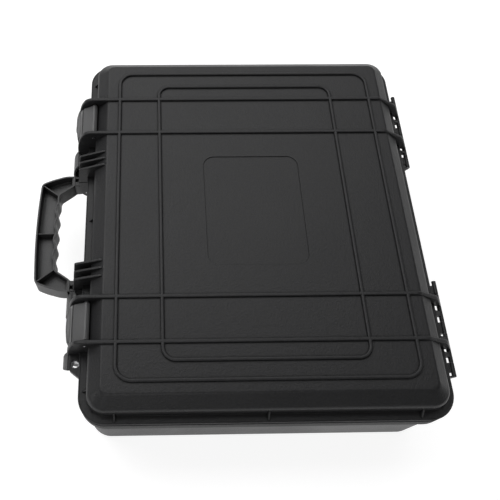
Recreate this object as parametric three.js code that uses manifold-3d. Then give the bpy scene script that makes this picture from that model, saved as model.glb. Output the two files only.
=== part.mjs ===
import * as THREE from "three";
import { mergeVertices } from "three/addons/utils/BufferGeometryUtils.js";
import Module from "manifold-3d";

const wasm = await Module();
wasm.setup();

// Frame: X along the case, +Y from the handle to the hinges, +Z up from the floor under the feet, in mm.
// An inset is measured inwards from the flange, an out outwards from its front or rear edge.

// Case body
const halfLength = 215;
const halfDepth = 179;
const flangeCornerRadius = 26.5;
const wall = 3.3;
const rimWidth = 7.9;
const rimEdge = 1.2;
const partingEdge = 0.5;
const partingGap = 0.4;
const seatGap = 0.3;
const overrun = 5;

// Base
const baseHeight = 88;
const baseRimHeight = 11.6;
const baseWallInset = 4.3;
const baseDraft = 1.6;
const baseEdgeRadius = 10;
const footHeight = 2.5;
const footHalfLength = 24;
const footHalfWidth = 9;
const footRadius = 8;
const footSetback = 52;

// Lid
const lidRimHeight = 10.6;
const lidWallHeight = 14.1;
const slopeHeight = 10.9;
const creaseInset = 4.5;
const lipInset = 9.4;
const lipEase = 1.6;
const panelInset = 22.7;
const panelEase = 1.2;
const panelCornerRadius = 6;

// Ribs on the panel, two loops and four straps that cross the whole lid on both sides of each latch
const ribWidth = 4;
const ribHeight = 2.2;
const ribDraft = 0.5;
const outerLoopEndInset = 35;
const outerLoopFrontInset = 36.4;
const outerLoopRadius = 15;
const innerLoopEndInset = 53.9;
const innerLoopFrontInset = 80.9;
const innerLoopRadius = 12;
const innerStrapShare = 0.453;
const strapSpacing = 45.8;

// Shallow bare recess in the middle of the panel
const recessHalfLength = 64.8;
const recessHalfDepth = 51.2;
const recessRadius = 11.8;
const recessDepth = 0.8;

// Straps: front fins on both sides of each latch, flat over the panel, then down the rear onto the hinges
const finWidth = 4;
const lidFinReach = 11.7;
const strapRootInset = 34;
const rearBendInset = 24.5;
const rearShoulderDrop = 14.3;
const baseFinReach = 19.2;
const baseFinDrop = 50;
const guardLength = 13.8;
const guardWall = 2.5;

// Seal between lid and base
const tongueInset = 2.9;
const tongueWidth = 2;
const grooveClearance = 0.8;
const grooveDepth = 6;
const sealThickness = 1.5;

// Latches
const latchGap = 1.8;
const latchPivotOut = -7;
const latchPivotHeight = 29;
const latchPinRadius = 2;
const latchBarrelRadius = 3.8;
const latchReach = 11.3;
const latchLip = 6.9;
const latchDrop = 38.4;
const latchRise = 25;
const latchSkin = 3.2;
const latchRibWidth = 2.2;
const latchBandOut = 1.3;
const latchBandCrown = 1.5;
const latchBandInset = 1.6;
const latchBandTop = 20.5;
const latchHookDepth = 3.3;
const latchHookClearance = 0.8;
const latchHookHeight = 3;
const latchCoreGap = 0.5;

// Pins of steel
const pinSides = 12;
const pinFit = 0.3;

// Padlock ears outside the outer fins, with steel eyelets
const earThickness = 6;
const earReach = 11.2;
const earLength = 26.3;
const earStraight = 17.3;
const earHoleAlong = 11.8;
const earHoleOut = 5;
const eyeletBoreRadius = 3.25;
const eyeletRadius = 3.9;
const eyeletFlangeRadius = 4.6;
const eyeletFlange = 0.7;

// Thin gussets on the lid above the handle's cheeks
const gussetWidth = 2.5;
const gussetMiddle = 65.5;
const gussetPitch = 8.5;
const gussetReach = 11.1;

// Small webs between the lid's wall and its ledge
const webWidth = 2.4;
const webFrontInset = 35;
const webEndInset = 31;
const webDrop = 2.6;

// Handle and the cheeks that carry it
const handlePivotOut = 4.1;
const handlePivotDrop = 22;
const handlePinRadius = 2;
const handleTopDrop = 12;
const handleDepth = 20;
const handleWall = 2.2;
const handleFloor = 2.4;
const handleReach = 58;
const handleBow = 3.4;
const gripShoulder = 60;
const armOuter = 71.8;
const lugWidth = 12.6;
const lugRadius = 8;
const lugReach = 18.7;
const gripInnerOut = 32.2;
const fingerPitch = 19;
const fingerDepth = 2.4;
const fingerCount = 4;
const innerShoulder = 46.5;
const handleEdge = 5;
const cheekWidth = 3;
const cheekGap = 0.7;
const cheekReach = 10.9;
const cheekDrop = 39;

// Hinges
const hingeOut = 8.6;
const hingeRise = 2;
const hingeBarrelRadius = 2.2;
const hingePinRadius = 1.1;
const hingeLead = 26.4;
const hingeKnuckleGap = 0.6;
const hingeEndKnuckle = 14.4;
const hingeLidKnuckle = 29.4;
const hingeMiddleKnuckle = 11.4;
const hingeArmSetShares = [[0.11, 0.19], [0.64, 0.83], [0.14, 0.27], [0.69, 0.85]];
const hingeWebSetShares = [[0.32, 1], [0, 1], [0, 0.64]];
const hingeStopShare = 0.09;
const hingeBracketDrop = 26;

// Pressure valve in the front wall, between the arms of the handle
const valveDrop = 36;
const valveRadius = 8.5;
const valveHead = 3;
const valveStemRadius = 4.5;
const valveBossRadius = 11;
const valveBossRise = 0.9;
const valveSealRadius = 6.4;
const valveSealThickness = 1.4;
const nutRadius = 8;
const nutThickness = 4;

// Foam lining
const foamGap = 0.5;
const padThickness = 12;
const blockTopDrop = 2;
const pocketEndInset = 50;
const pocketFrontInset = 49;
const pocketRadius = 16;
const lidFoamRise = 1.6;

// Fineness of curves
const cornerSteps = 6;
const easeSteps = 3;
const curveSteps = 5;
const fineSides = 16;

// Heights above the floor that follow from the sizes
const lidBottom = baseHeight + partingGap;
const ledgeZ = lidBottom + lidRimHeight;
const lipZ = ledgeZ + lidWallHeight;
const panelZ = lipZ + slopeHeight;
const ribTop = panelZ + ribHeight;
const baseRimZ = baseHeight - baseRimHeight;
const bottomInset = baseWallInset + baseDraft;
const floorTop = footHeight + wall;
const hingeAxisY = halfDepth + hingeOut;
const hingeAxisZ = baseHeight + hingeRise;
const latchAxisY = -halfDepth - latchPivotOut;
const latchAxisZ = baseHeight + latchPivotHeight;
const handleAxisY = -halfDepth - handlePivotOut;
const handleAxisZ = baseHeight - handlePivotDrop;
const handleTop = baseHeight - handleTopDrop;
const handleBottom = handleTop - handleDepth;

// Places that follow from the size of the case
const outerLoopHalfLength = halfLength - outerLoopEndInset;
const outerLoopHalfDepth = halfDepth - outerLoopFrontInset;
const innerLoopHalfLength = halfLength - innerLoopEndInset;
const innerLoopHalfDepth = halfDepth - innerLoopFrontInset;
const innerStrapX = halfLength * innerStrapShare;
const outerStrapX = innerStrapX + strapSpacing;
const webSideY = halfDepth - webFrontInset;
const webLongX = halfLength - webEndInset;
const hingeStart = innerStrapX - hingeLead;
const pocketHalfLength = halfLength - pocketEndInset;
const pocketHalfDepth = halfDepth - pocketFrontInset;

const axisX = new THREE.Vector3(1, 0, 0);
const axisY = new THREE.Vector3(0, 1, 0);
const axisZ = new THREE.Vector3(0, 0, 1);

// A closed geometry becomes a solid once its shared points are merged
function solid(geometry) {
  const bare = geometry.clone();
  bare.deleteAttribute("normal");
  bare.deleteAttribute("uv");
  const merged = mergeVertices(bare);
  const vertProperties = Float32Array.from(merged.attributes.position.array);
  const triVerts = Uint32Array.from(merged.index.array);
  return new wasm.Manifold(new wasm.Mesh({ numProp: 3, vertProperties, triVerts }));
}

function joined(solids) {
  return solids.reduce((whole, piece) => whole.add(piece));
}

// Rounded rectangle at one height, anticlockwise
function ring(halfX, halfY, radius, z) {
  const signs = [[1, 1], [-1, 1], [-1, -1], [1, -1]];
  const points = [];
  signs.forEach(([signX, signY], quarter) => {
    for (let step = 0; step <= cornerSteps; step += 1) {
      const angle = (quarter + step / cornerSteps) * Math.PI / 2;
      const x = signX * (halfX - radius) + radius * Math.cos(angle);
      const y = signY * (halfY - radius) + radius * Math.sin(angle);
      points.push(new THREE.Vector3(x, y, z));
    }
  });
  return points;
}

// Skin through rings of equal count, from the lowest to the highest, closed at both ends
function loft(rings) {
  const count = rings[0].length;
  const positions = rings.flat().flatMap((point) => [point.x, point.y, point.z]);
  const index = [];
  for (let level = 0; level + 1 < rings.length; level += 1) {
    for (let step = 0; step < count; step += 1) {
      const low = level * count + step;
      const lowNext = level * count + (step + 1) % count;
      index.push(low, lowNext, lowNext + count, low, lowNext + count, low + count);
    }
  }
  const flat = rings[0].map((point) => new THREE.Vector2(point.x, point.y));
  const top = (rings.length - 1) * count;
  for (const [a, b, c] of THREE.ShapeUtils.triangulateShape(flat, [])) {
    index.push(c, b, a, top + a, top + b, top + c);
  }
  const geometry = new THREE.BufferGeometry();
  geometry.setAttribute("position", new THREE.Float32BufferAttribute(positions, 3));
  geometry.setIndex(index);
  return solid(geometry);
}

// Outline points [a, b, ease]: a corner with an ease is rounded off that far along both its sides
function eased(outline, closed) {
  const result = [];
  outline.forEach(([a, b, ease], place) => {
    const corner = new THREE.Vector2(a, b);
    const isEnd = !closed && (place === 0 || place === outline.length - 1);
    if (!ease || isEnd) {
      result.push([a, b]);
      return;
    }
    const before = new THREE.Vector2(...outline[(place + outline.length - 1) % outline.length]);
    const after = new THREE.Vector2(...outline[(place + 1) % outline.length]);
    const start = corner.clone().add(before.sub(corner).setLength(ease));
    const end = corner.clone().add(after.sub(corner).setLength(ease));
    const curve = new THREE.QuadraticBezierCurve(start, corner, end);
    curve.getPoints(easeSteps).forEach((point) => result.push([point.x, point.y]));
  });
  return result;
}

// Body of the case from a section of [inset, height, ease]
function caseLoft(section) {
  const rings = eased(section, false).map(([inset, z]) => {
    const radius = Math.max(flangeCornerRadius - inset, panelCornerRadius);
    return ring(halfLength - inset, halfDepth - inset, radius, z);
  });
  return loft(rings);
}

// Band that follows the flange between two insets
function caseBand(outerInset, innerInset, low, high) {
  const outside = caseLoft([[outerInset, low], [outerInset, high]]);
  const inside = caseLoft([[innerInset, low - overrun], [innerInset, high + overrun]]);
  return outside.subtract(inside);
}

function shapeOf(outline) {
  return new THREE.Shape(outline.map(([a, b]) => new THREE.Vector2(a, b)));
}

// Plate of a [y, z] outline between two places on X
function plateX(outline, from, to) {
  const depth = Math.abs(to - from);
  const geometry = new THREE.ExtrudeGeometry(shapeOf(outline), { depth, bevelEnabled: false });
  geometry.applyMatrix4(new THREE.Matrix4().makeBasis(axisY, axisZ, axisX));
  geometry.translate(Math.min(from, to), 0, 0);
  return solid(geometry);
}

// Plate of an [x, z] outline between two places on Y
function plateY(outline, from, to) {
  const geometry = new THREE.ExtrudeGeometry(shapeOf(outline), { depth: to - from, bevelEnabled: false });
  geometry.applyMatrix4(new THREE.Matrix4().makeBasis(axisX, axisZ, axisY.clone().negate()));
  geometry.translate(0, to, 0);
  return solid(geometry);
}

// Plate of an [x, y] outline between two heights
function plateZ(outline, from, to) {
  const geometry = new THREE.ExtrudeGeometry(shapeOf(outline), { depth: to - from, bevelEnabled: false });
  geometry.translate(0, 0, from);
  return solid(geometry);
}

function block(fromX, toX, fromY, toY, fromZ, toZ) {
  const width = Math.abs(toX - fromX);
  const geometry = new THREE.BoxGeometry(width, toY - fromY, toZ - fromZ);
  geometry.translate((fromX + toX) / 2, (fromY + toY) / 2, (fromZ + toZ) / 2);
  return solid(geometry);
}

function rodX(radius, from, to, y, z, sides) {
  const geometry = new THREE.CylinderGeometry(radius, radius, Math.abs(to - from), sides);
  geometry.rotateZ(Math.PI / 2);
  geometry.translate((from + to) / 2, y, z);
  return solid(geometry);
}

function rodY(radius, x, from, to, z, sides) {
  const geometry = new THREE.CylinderGeometry(radius, radius, to - from, sides);
  geometry.translate(x, (from + to) / 2, z);
  return solid(geometry);
}

function rodZ(radius, x, y, from, to, sides) {
  const geometry = new THREE.CylinderGeometry(radius, radius, to - from, sides);
  geometry.rotateX(Math.PI / 2);
  geometry.translate(x, y, (from + to) / 2);
  return solid(geometry);
}

// Flat-sided bores are drawn round their circle, so that a pin keeps its clearance
function boreRadius(radius, sides) {
  return (radius + pinFit) / Math.cos(Math.PI / sides);
}

function frontY(out) {
  return -halfDepth - out;
}

function rearY(out) {
  return halfDepth + out;
}

function mirroredOutline(outline, side) {
  const placed = outline.map(([x, y]) => [side * x, y]);
  return side < 0 ? placed.reverse() : placed;
}

const plastic = { color: 0x2e2e30, roughness: 0.55, metalness: 0 };
const latchPlastic = { color: 0x3c3c3d, roughness: 0.5, metalness: 0 };
const steel = { color: 0xc9cacb, roughness: 0.3, metalness: 1 };
const rubber = { color: 0x1a1a1a, roughness: 0.85, metalness: 0 };
const foam = { color: 0x26262a, roughness: 0.95, metalness: 0 };

const caseGroup = new THREE.Group();

function addPart(name, piece, look) {
  const result = piece.getMesh();
  const geometry = new THREE.BufferGeometry();
  geometry.setAttribute("position", new THREE.Float32BufferAttribute(result.vertProperties, 3));
  geometry.setIndex(Array.from(result.triVerts));
  geometry.computeVertexNormals();
  const mesh = new THREE.Mesh(geometry, new THREE.MeshStandardMaterial(look));
  mesh.name = name;
  caseGroup.add(mesh);
}

const sides = [["left", -1], ["right", 1]];
const strapPlaces = [-outerStrapX, -innerStrapX, innerStrapX, outerStrapX];

// Lid body: rim, ledge, flaring wall, lip and sloped border up to the panel
const lidSection = [
  [partingEdge, lidBottom, 0],
  [0, lidBottom + partingEdge, 0],
  [0, ledgeZ, rimEdge],
  [creaseInset, ledgeZ, 0],
  [lipInset, lipZ, lipEase],
  [panelInset, panelZ, panelEase],
  [panelInset + wall, panelZ, 0],
];
const lipInnerShare = 0.55;
const lidCavitySection = [
  [rimWidth, lidBottom - overrun],
  [rimWidth, ledgeZ - partingEdge],
  [lipInset + wall, lipZ - wall * lipInnerShare],
  [panelInset + partingEdge, panelZ - wall],
];

// A rib that runs round a rounded rectangle, narrower at the top
function loopRib(halfX, halfY, radius) {
  const half = ribWidth / 2;
  const low = panelZ - wall / 2;
  const outside = loft([
    ring(halfX + half, halfY + half, radius + half, low),
    ring(halfX + half, halfY + half, radius + half, panelZ),
    ring(halfX + half - ribDraft, halfY + half - ribDraft, radius + half - ribDraft, ribTop),
  ]);
  const inside = loft([
    ring(halfX - half, halfY - half, radius - half, low - overrun),
    ring(halfX - half, halfY - half, radius - half, panelZ),
    ring(halfX - half + ribDraft, halfY - half + ribDraft, radius - half + ribDraft, ribTop),
    ring(halfX - half + ribDraft, halfY - half + ribDraft, radius - half + ribDraft, ribTop + overrun),
  ]);
  return outside.subtract(inside);
}

// Smooth line through shares of a width and a height
function curveThrough(shares, origin, width, height) {
  const points = shares.map(([a, b]) => new THREE.Vector2(origin[0] + a * width, origin[1] + b * height));
  return new THREE.SplineCurve(points).getPoints((points.length - 1) * curveSteps).map(({ x, y }) => [x, y]);
}

// Strap of the lid seen from the side: the front fin's curve, flat over the ribs, then down over the rear slope
const lidFinShares = [
  [0.68, 1], [0.24, 0.987], [-0.18, 0.918], [-0.51, 0.825], [-0.77, 0.71], [-0.915, 0.585], [-0.965, 0.413],
  [-0.99, 0.2], [-1, 0],
];
const rearFootShare = 0.64;
const lidHeight = ribTop - lidBottom;
const lidFinCurve = curveThrough(lidFinShares, [frontY(0), lidBottom], lidFinReach, lidHeight);
const rearLine = [
  [rearY(-rearBendInset), ribTop, lipEase],
  [rearY(-partingEdge), ribTop - rearShoulderDrop, lipEase],
  [hingeAxisY + hingeBarrelRadius * rearFootShare, hingeAxisZ + hingeBarrelRadius],
  [hingeAxisY, hingeAxisZ],
];
const strapOutline = [
  ...lidFinCurve.slice().reverse().map(([y, z]) => [y, z, 0]),
  ...rearLine,
  [rearY(0), ledgeZ - rimEdge, 0],
  [rearY(-rimWidth), ledgeZ - rimEdge, 0],
  [rearY(-strapRootInset), panelZ - wall / 2, 0],
  [frontY(-strapRootInset), panelZ - wall / 2, 0],
  [frontY(-rimWidth), ledgeZ, 0],
  [frontY(-rimWidth), lidBottom, 0],
].reverse();

function lidStrap(x) {
  const from = x - finWidth / 2;
  const to = x + finWidth / 2;
  const room = block(from, to, frontY(lidFinReach + overrun), rearY(hingeOut + overrun), baseHeight - overrun, ribTop);
  return plateX(eased(strapOutline, true), from, to).intersect(room);
}

// Gusset between the slope of the lid and its rim
const gussetTopShare = 0.7;
const gussetOutline = [
  [frontY(-panelInset + wall), panelZ - wall],
  [frontY(-rimWidth), ledgeZ],
  [frontY(-rimWidth), lidBottom],
  [frontY(gussetReach), lidBottom, rimEdge],
  [frontY(gussetReach * gussetTopShare), panelZ - slopeHeight, lipEase],
  [frontY(-panelInset + wall), panelZ],
];

// Small web from just under the lip to the edge of the ledge, as [out from the flange, height]
const webSection = [
  [-rimWidth, ledgeZ - rimEdge],
  [-rimEdge, ledgeZ - rimEdge],
  [-rimEdge, ledgeZ],
  [-lipInset + rimEdge, lipZ - webDrop],
  [-lipInset - rimEdge, lipZ - webDrop],
];

function lidWebs() {
  const half = webWidth / 2;
  const webs = [];
  for (const [, side] of sides) {
    for (const y of [-webSideY, 0, webSideY]) {
      const outline = mirroredOutline(webSection.map(([out, z]) => [halfLength + out, z]), side);
      webs.push(plateY(outline, y - half, y + half));
    }
    for (const x of [-webLongX, 0, webLongX]) {
      const outline = mirroredOutline(webSection.map(([out, z]) => [halfDepth + out, z]), side);
      webs.push(plateX(outline, x - half, x + half));
    }
  }
  return webs;
}

// Padlock ear in plan beyond the outer fin
function ear(side, low, high) {
  const outline = [
    [outerStrapX, frontY(-rimEdge)],
    [outerStrapX, frontY(earReach)],
    [outerStrapX + earStraight, frontY(earReach), lipEase],
    [outerStrapX + earLength, frontY(0)],
    [outerStrapX + earLength, frontY(-rimEdge)],
  ];
  return plateZ(mirroredOutline(eased(outline, true), side), low, high);
}

const eyeletX = outerStrapX + earHoleAlong;
const eyeletY = frontY(earHoleOut);
function earHole(side) {
  const radius = boreRadius(eyeletRadius, fineSides);
  return rodZ(radius, side * eyeletX, eyeletY, baseHeight - earThickness - overrun, ledgeZ + overrun, fineSides);
}

// Knuckles along a hinge, from its inner end: base, lid, base, lid, base
const hingeKnuckles = [
  ["base", hingeEndKnuckle],
  ["lid", hingeLidKnuckle],
  ["base", hingeMiddleKnuckle],
  ["lid", hingeLidKnuckle],
  ["base", hingeEndKnuckle],
];
const knucklePlaces = [];
let knuckleStart = hingeStart;
for (const [owner, length] of hingeKnuckles) {
  knucklePlaces.push([owner, knuckleStart, knuckleStart + length]);
  knuckleStart += length + hingeKnuckleGap;
}
const hingeEnd = knuckleStart - hingeKnuckleGap;

const hingeArmOutline = [
  [rearY(-rimEdge), lidBottom + rimEdge],
  [hingeAxisY, hingeAxisZ],
  [hingeAxisY + hingeBarrelRadius / 2, hingeAxisZ + hingeBarrelRadius / 2],
  [rearY(-rimEdge), ledgeZ - rimEdge],
];
const hingeBracketOutline = [
  [rearY(-baseWallInset - rimEdge), baseHeight - hingeBracketDrop],
  [rearY(hingeOut + hingeBarrelRadius), hingeAxisZ - hingeBarrelRadius],
  [rearY(hingeOut + hingeBarrelRadius), hingeAxisZ],
  [hingeAxisY, hingeAxisZ + hingeBarrelRadius / 2],
  [rearY(rimEdge), baseHeight],
  [rearY(-baseWallInset - rimEdge), baseHeight],
];

function barrel(from, to) {
  return rodX(hingeBarrelRadius, from, to, hingeAxisY, hingeAxisZ, fineSides);
}

function hingeBores() {
  const radius = boreRadius(hingePinRadius, pinSides);
  return sides.map(([, side]) => {
    const from = side * (hingeStart - overrun);
    const to = side * (hingeEnd + overrun);
    return rodX(radius, from, to, hingeAxisY, hingeAxisZ, pinSides);
  });
}

// Knuckles of one owner: a barrel along each, and plates over the shares of its length that have one
function hingePieces(owner, outline, setShares) {
  const perKnuckle = owner === "lid" ? 2 : 1;
  const pieces = [];
  for (const [, side] of sides) {
    const places = knucklePlaces.filter(([holder]) => holder === owner);
    places.forEach(([, from, to], place) => {
      pieces.push(barrel(side * from, side * to));
      for (const [startShare, endShare] of setShares.slice(place * perKnuckle, (place + 1) * perKnuckle)) {
        const plateFrom = side * (from + startShare * (to - from));
        const plateTo = side * (from + endShare * (to - from));
        pieces.push(plateX(outline, plateFrom, plateTo));
      }
    });
  }
  return pieces;
}

// Pins of the latches pass through both fins
const latchPinFrom = innerStrapX - finWidth / 2 - seatGap;
const latchPinTo = outerStrapX + finWidth / 2 + seatGap;

function latchPinRod(side, radius, extra) {
  const from = side * (latchPinFrom - extra);
  const to = side * (latchPinTo + extra);
  return rodX(radius, from, to, latchAxisY, latchAxisZ, pinSides);
}

// Groove for the seal, wider than the tongue on both sides
const grooveInset = tongueInset - grooveClearance;
const grooveInner = tongueInset + tongueWidth + grooveClearance;
const grooveTop = lidBottom + grooveDepth;

const lidPieces = [
  caseLoft(lidSection),
  loopRib(outerLoopHalfLength, outerLoopHalfDepth, outerLoopRadius),
  loopRib(innerLoopHalfLength, innerLoopHalfDepth, innerLoopRadius),
  ...strapPlaces.map(lidStrap),
  ...lidWebs(),
  ...hingePieces("lid", hingeArmOutline, hingeArmSetShares),
];
for (const [, side] of sides) {
  for (const step of [-1, 0, 1]) {
    const x = side * (gussetMiddle + step * gussetPitch);
    lidPieces.push(plateX(eased(gussetOutline, true), x - gussetWidth / 2, x + gussetWidth / 2));
  }
  lidPieces.push(ear(side, lidBottom, lidBottom + earThickness));
}
const lidCuts = [
  caseLoft(lidCavitySection),
  caseBand(grooveInset, grooveInner, lidBottom - overrun, grooveTop),
  loft([
    ring(recessHalfLength, recessHalfDepth, recessRadius, panelZ - recessDepth),
    ring(recessHalfLength, recessHalfDepth, recessRadius, ribTop),
  ]),
  ...hingeBores(),
];
for (const [, side] of sides) {
  lidCuts.push(earHole(side));
  lidCuts.push(latchPinRod(side, boreRadius(latchPinRadius, pinSides), 0));
}
const lidShell = joined(lidPieces).subtract(joined(lidCuts));
addPart("lid_shell", lidShell, plastic);

// Base body
const baseSection = [
  [bottomInset + baseEdgeRadius, footHeight, 0],
  [bottomInset, footHeight, baseEdgeRadius],
  [baseWallInset, baseRimZ, 0],
  [0, baseRimZ, rimEdge],
  [0, baseHeight - partingEdge, 0],
  [partingEdge, baseHeight, 0],
];
const cavityEdge = baseEdgeRadius - wall;
const baseCavitySection = [
  [bottomInset + wall + cavityEdge, floorTop, 0],
  [bottomInset + wall, floorTop, cavityEdge],
  [rimWidth, baseRimZ, 0],
  [rimWidth, baseHeight + overrun, 0],
];

// Guard fin of the base: bulges beyond the lid's fin and runs back into the wall
const baseFinShares = [
  [-0.61, 0], [-0.8, -0.16], [-0.95, -0.32], [-1, -0.48], [-0.92, -0.64], [-0.61, -0.8], [-0.19, -0.92], [0.25, -1],
];
const baseFinCurve = curveThrough(baseFinShares, [frontY(0), baseHeight], baseFinReach, baseFinDrop);
const baseFinOutline = [[frontY(-baseWallInset - wall / 2), baseHeight], ...baseFinCurve];

// Guard wall beside each padlock ear: the upper part of the fin's curve, carried on as a wall
const guardCurve = baseFinCurve.slice(0, 4 * curveSteps + 1);
const guardOutline = [...guardCurve, ...guardCurve.map(([y, z]) => [y + guardWall, z]).reverse()];

// Cheeks that hold the handle's pins
const cheekWaistShare = 0.87;
const cheekOutline = [
  [frontY(-baseWallInset - wall / 2), baseHeight],
  [frontY(cheekReach), baseHeight, rimEdge],
  [frontY(cheekReach * cheekWaistShare), handleAxisZ - lugRadius / 2, lugRadius / 2],
  [frontY(0), baseHeight - cheekDrop * cheekWaistShare, rimEdge],
  [frontY(-baseWallInset - wall / 2), baseHeight - cheekDrop],
];
const lugInner = armOuter - lugWidth;
const cheekPlaces = [
  [lugInner - cheekGap - cheekWidth, lugInner - cheekGap],
  [armOuter + cheekGap, armOuter + cheekGap + cheekWidth],
];
const handlePinFrom = cheekPlaces[0][0] - seatGap;
const handlePinTo = cheekPlaces[1][1] + seatGap;

function handlePinRod(side, radius, extra) {
  const from = side * (handlePinFrom - extra);
  const to = side * (handlePinTo + extra);
  return rodX(radius, from, to, handleAxisY, handleAxisZ, pinSides);
}

const valveZ = baseHeight - valveDrop;
const bossFace = frontY(-baseWallInset + valveBossRise);
const nutSeat = frontY(-bottomInset - wall - valveBossRise);

const basePieces = [caseLoft(baseSection)];
for (const x of strapPlaces) {
  basePieces.push(plateX(baseFinOutline, x - finWidth / 2, x + finWidth / 2));
}
basePieces.push(...hingePieces("base", hingeBracketOutline, hingeWebSetShares));
for (const [, side] of sides) {
  basePieces.push(plateX(guardOutline, side * outerStrapX, side * (outerStrapX + guardLength)));
  const stopTo = side > 0 ? hingeEnd : -hingeStart;
  basePieces.push(plateX(hingeBracketOutline, stopTo - hingeEndKnuckle * hingeStopShare, stopTo));
  for (const [from, to] of cheekPlaces) {
    basePieces.push(plateX(eased(cheekOutline, true), side * from, side * to));
  }
  basePieces.push(ear(side, baseHeight - earThickness, baseHeight));
  for (const [, end] of sides) {
    const foot = loft([
      ring(footHalfLength - footHeight / 2, footHalfWidth - footHeight / 2, footRadius - footHeight / 2, 0),
      ring(footHalfLength, footHalfWidth, footRadius, footHeight + wall / 2),
    ].map((points) => points.map((point) => new THREE.Vector3(
      point.x + side * (halfLength - footSetback),
      point.y + end * (halfDepth - footSetback),
      point.z,
    ))));
    basePieces.push(foot);
  }
}
basePieces.push(rodY(valveBossRadius, 0, bossFace, frontY(-bottomInset), valveZ, fineSides));
const tongueTop = grooveTop - 2 * seatGap - sealThickness;
const tongue = caseBand(tongueInset, tongueInset + tongueWidth, baseHeight - rimEdge, tongueTop);
const valveSeat = rodY(valveBossRadius, 0, frontY(-bottomInset), nutSeat, valveZ, fineSides);
const baseCuts = [
  ...hingeBores(),
  rodY(boreRadius(valveStemRadius, fineSides), 0, frontY(0), nutSeat + overrun, valveZ, fineSides),
];
for (const [, side] of sides) {
  baseCuts.push(earHole(side));
  baseCuts.push(handlePinRod(side, boreRadius(handlePinRadius, pinSides), 0));
}
const baseHollow = joined(basePieces).subtract(caseLoft(baseCavitySection));
const baseShell = joined([baseHollow, tongue, valveSeat]).subtract(joined(baseCuts));
addPart("base_shell", baseShell, plastic);

// Latch: barrel on the pin, plate over the ledge, skirt outside both rims, hook under the base's rim, finger lip
const skirtBottom = baseRimZ - latchHookHeight;
const latchLow = baseHeight - latchDrop;
const latchShoulderShares = [0.6, 0.88];
const latchTaperShares = [0.78, 0.64, 0.45];
const latchOutline = [
  [latchAxisY, latchAxisZ + latchBarrelRadius],
  [frontY(-latchBarrelRadius / 2), latchAxisZ + latchBarrelRadius / 3],
  [frontY(latchReach * latchShoulderShares[0]), baseHeight + latchRise, lipEase],
  [frontY(latchReach * latchShoulderShares[1]), baseHeight + latchRise * latchTaperShares[0], lipEase],
  [frontY(latchReach), baseHeight + latchRise * latchTaperShares[2]],
  [frontY(latchReach), skirtBottom, lipEase],
  [frontY(latchReach + latchLip * latchTaperShares[2]), baseHeight - latchDrop * latchShoulderShares[1]],
  [frontY(latchReach + latchLip), latchLow + partingEdge],
  [frontY(latchReach + latchLip * latchTaperShares[1]), latchLow],
  [frontY(latchReach - partingEdge), latchLow + latchHookHeight, lipEase],
  [frontY(latchReach - latchSkin), skirtBottom - latchHookHeight, lipEase],
  [frontY(-latchHookDepth + partingEdge), skirtBottom],
  [frontY(-latchHookDepth), baseRimZ - latchHookClearance],
  [frontY(-partingEdge), baseRimZ - latchHookClearance],
  [frontY(latchCoreGap), baseRimZ],
  [frontY(latchCoreGap), ledgeZ + rimEdge],
  [frontY(latchSkin), latchAxisZ - latchBarrelRadius * 2],
  [frontY(-latchBarrelRadius + partingEdge), latchAxisZ - latchBarrelRadius / 3],
];
const latchInnerX = innerStrapX + finWidth / 2 + latchGap;
const latchOuterX = outerStrapX - finWidth / 2 - latchGap;
const latchMiddleX = (latchInnerX + latchOuterX) / 2;

// Raised band on the face of the latch, crowned outwards in plan
const bandHalf = (latchOuterX - latchInnerX) / 2 - latchBandInset;
const crownShares = [[1, 0], [0.72, 0.5], [0.4, 0.84], [0, 1], [-0.4, 0.84], [-0.72, 0.5], [-1, 0]];
const bandSideOutline = [
  [frontY(latchReach - latchSkin), baseHeight + latchBandTop],
  [frontY(latchReach - latchSkin), skirtBottom],
  [frontY(latchReach + latchBandOut + latchBandCrown), skirtBottom + latchHookHeight, lipEase],
  [frontY(latchReach + latchBandOut + latchBandCrown), baseHeight + latchBandTop * latchTaperShares[0], lipEase],
].reverse();

function latchBand(side) {
  const face = frontY(latchReach + latchBandOut);
  const front = crownShares.map(([along, out]) => {
    return [side * latchMiddleX + along * bandHalf, face - out * latchBandCrown];
  });
  const back = frontY(latchReach - latchSkin);
  const plan = [
    [side * latchMiddleX - bandHalf, back],
    ...front.reverse(),
    [side * latchMiddleX + bandHalf, back],
  ];
  const slab = plateX(eased(bandSideOutline, true), side * latchInnerX, side * latchOuterX);
  return plateZ(plan, skirtBottom - overrun, ledgeZ + latchRise).intersect(slab);
}

// Pockets behind the skirt leave side walls and two ribs
function latchPockets(side) {
  const inner = latchInnerX + latchRibWidth;
  const outer = latchOuterX - latchRibWidth;
  const pitch = (outer - inner + latchRibWidth) / 3;
  return [0, 1, 2].map((place) => {
    const from = side * (inner + place * pitch);
    const to = side * (inner + (place + 1) * pitch - latchRibWidth);
    const low = baseRimZ + rimEdge;
    const high = ledgeZ + rimEdge;
    return block(from, to, frontY(latchReach - latchSkin), frontY(-overrun), low, high);
  });
}

for (const [name, side] of sides) {
  const pieces = [
    plateX(eased(latchOutline, true), side * latchInnerX, side * latchOuterX),
    rodX(latchBarrelRadius, side * latchInnerX, side * latchOuterX, latchAxisY, latchAxisZ, fineSides),
    latchBand(side),
  ];
  const cuts = [...latchPockets(side), latchPinRod(side, boreRadius(latchPinRadius, pinSides), 0)];
  addPart(`latch_${name}`, joined(pieces).subtract(joined(cuts)), latchPlastic);
  addPart(`latch_pin_${name}`, latchPinRod(side, latchPinRadius, -seatGap), steel);
}

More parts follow.
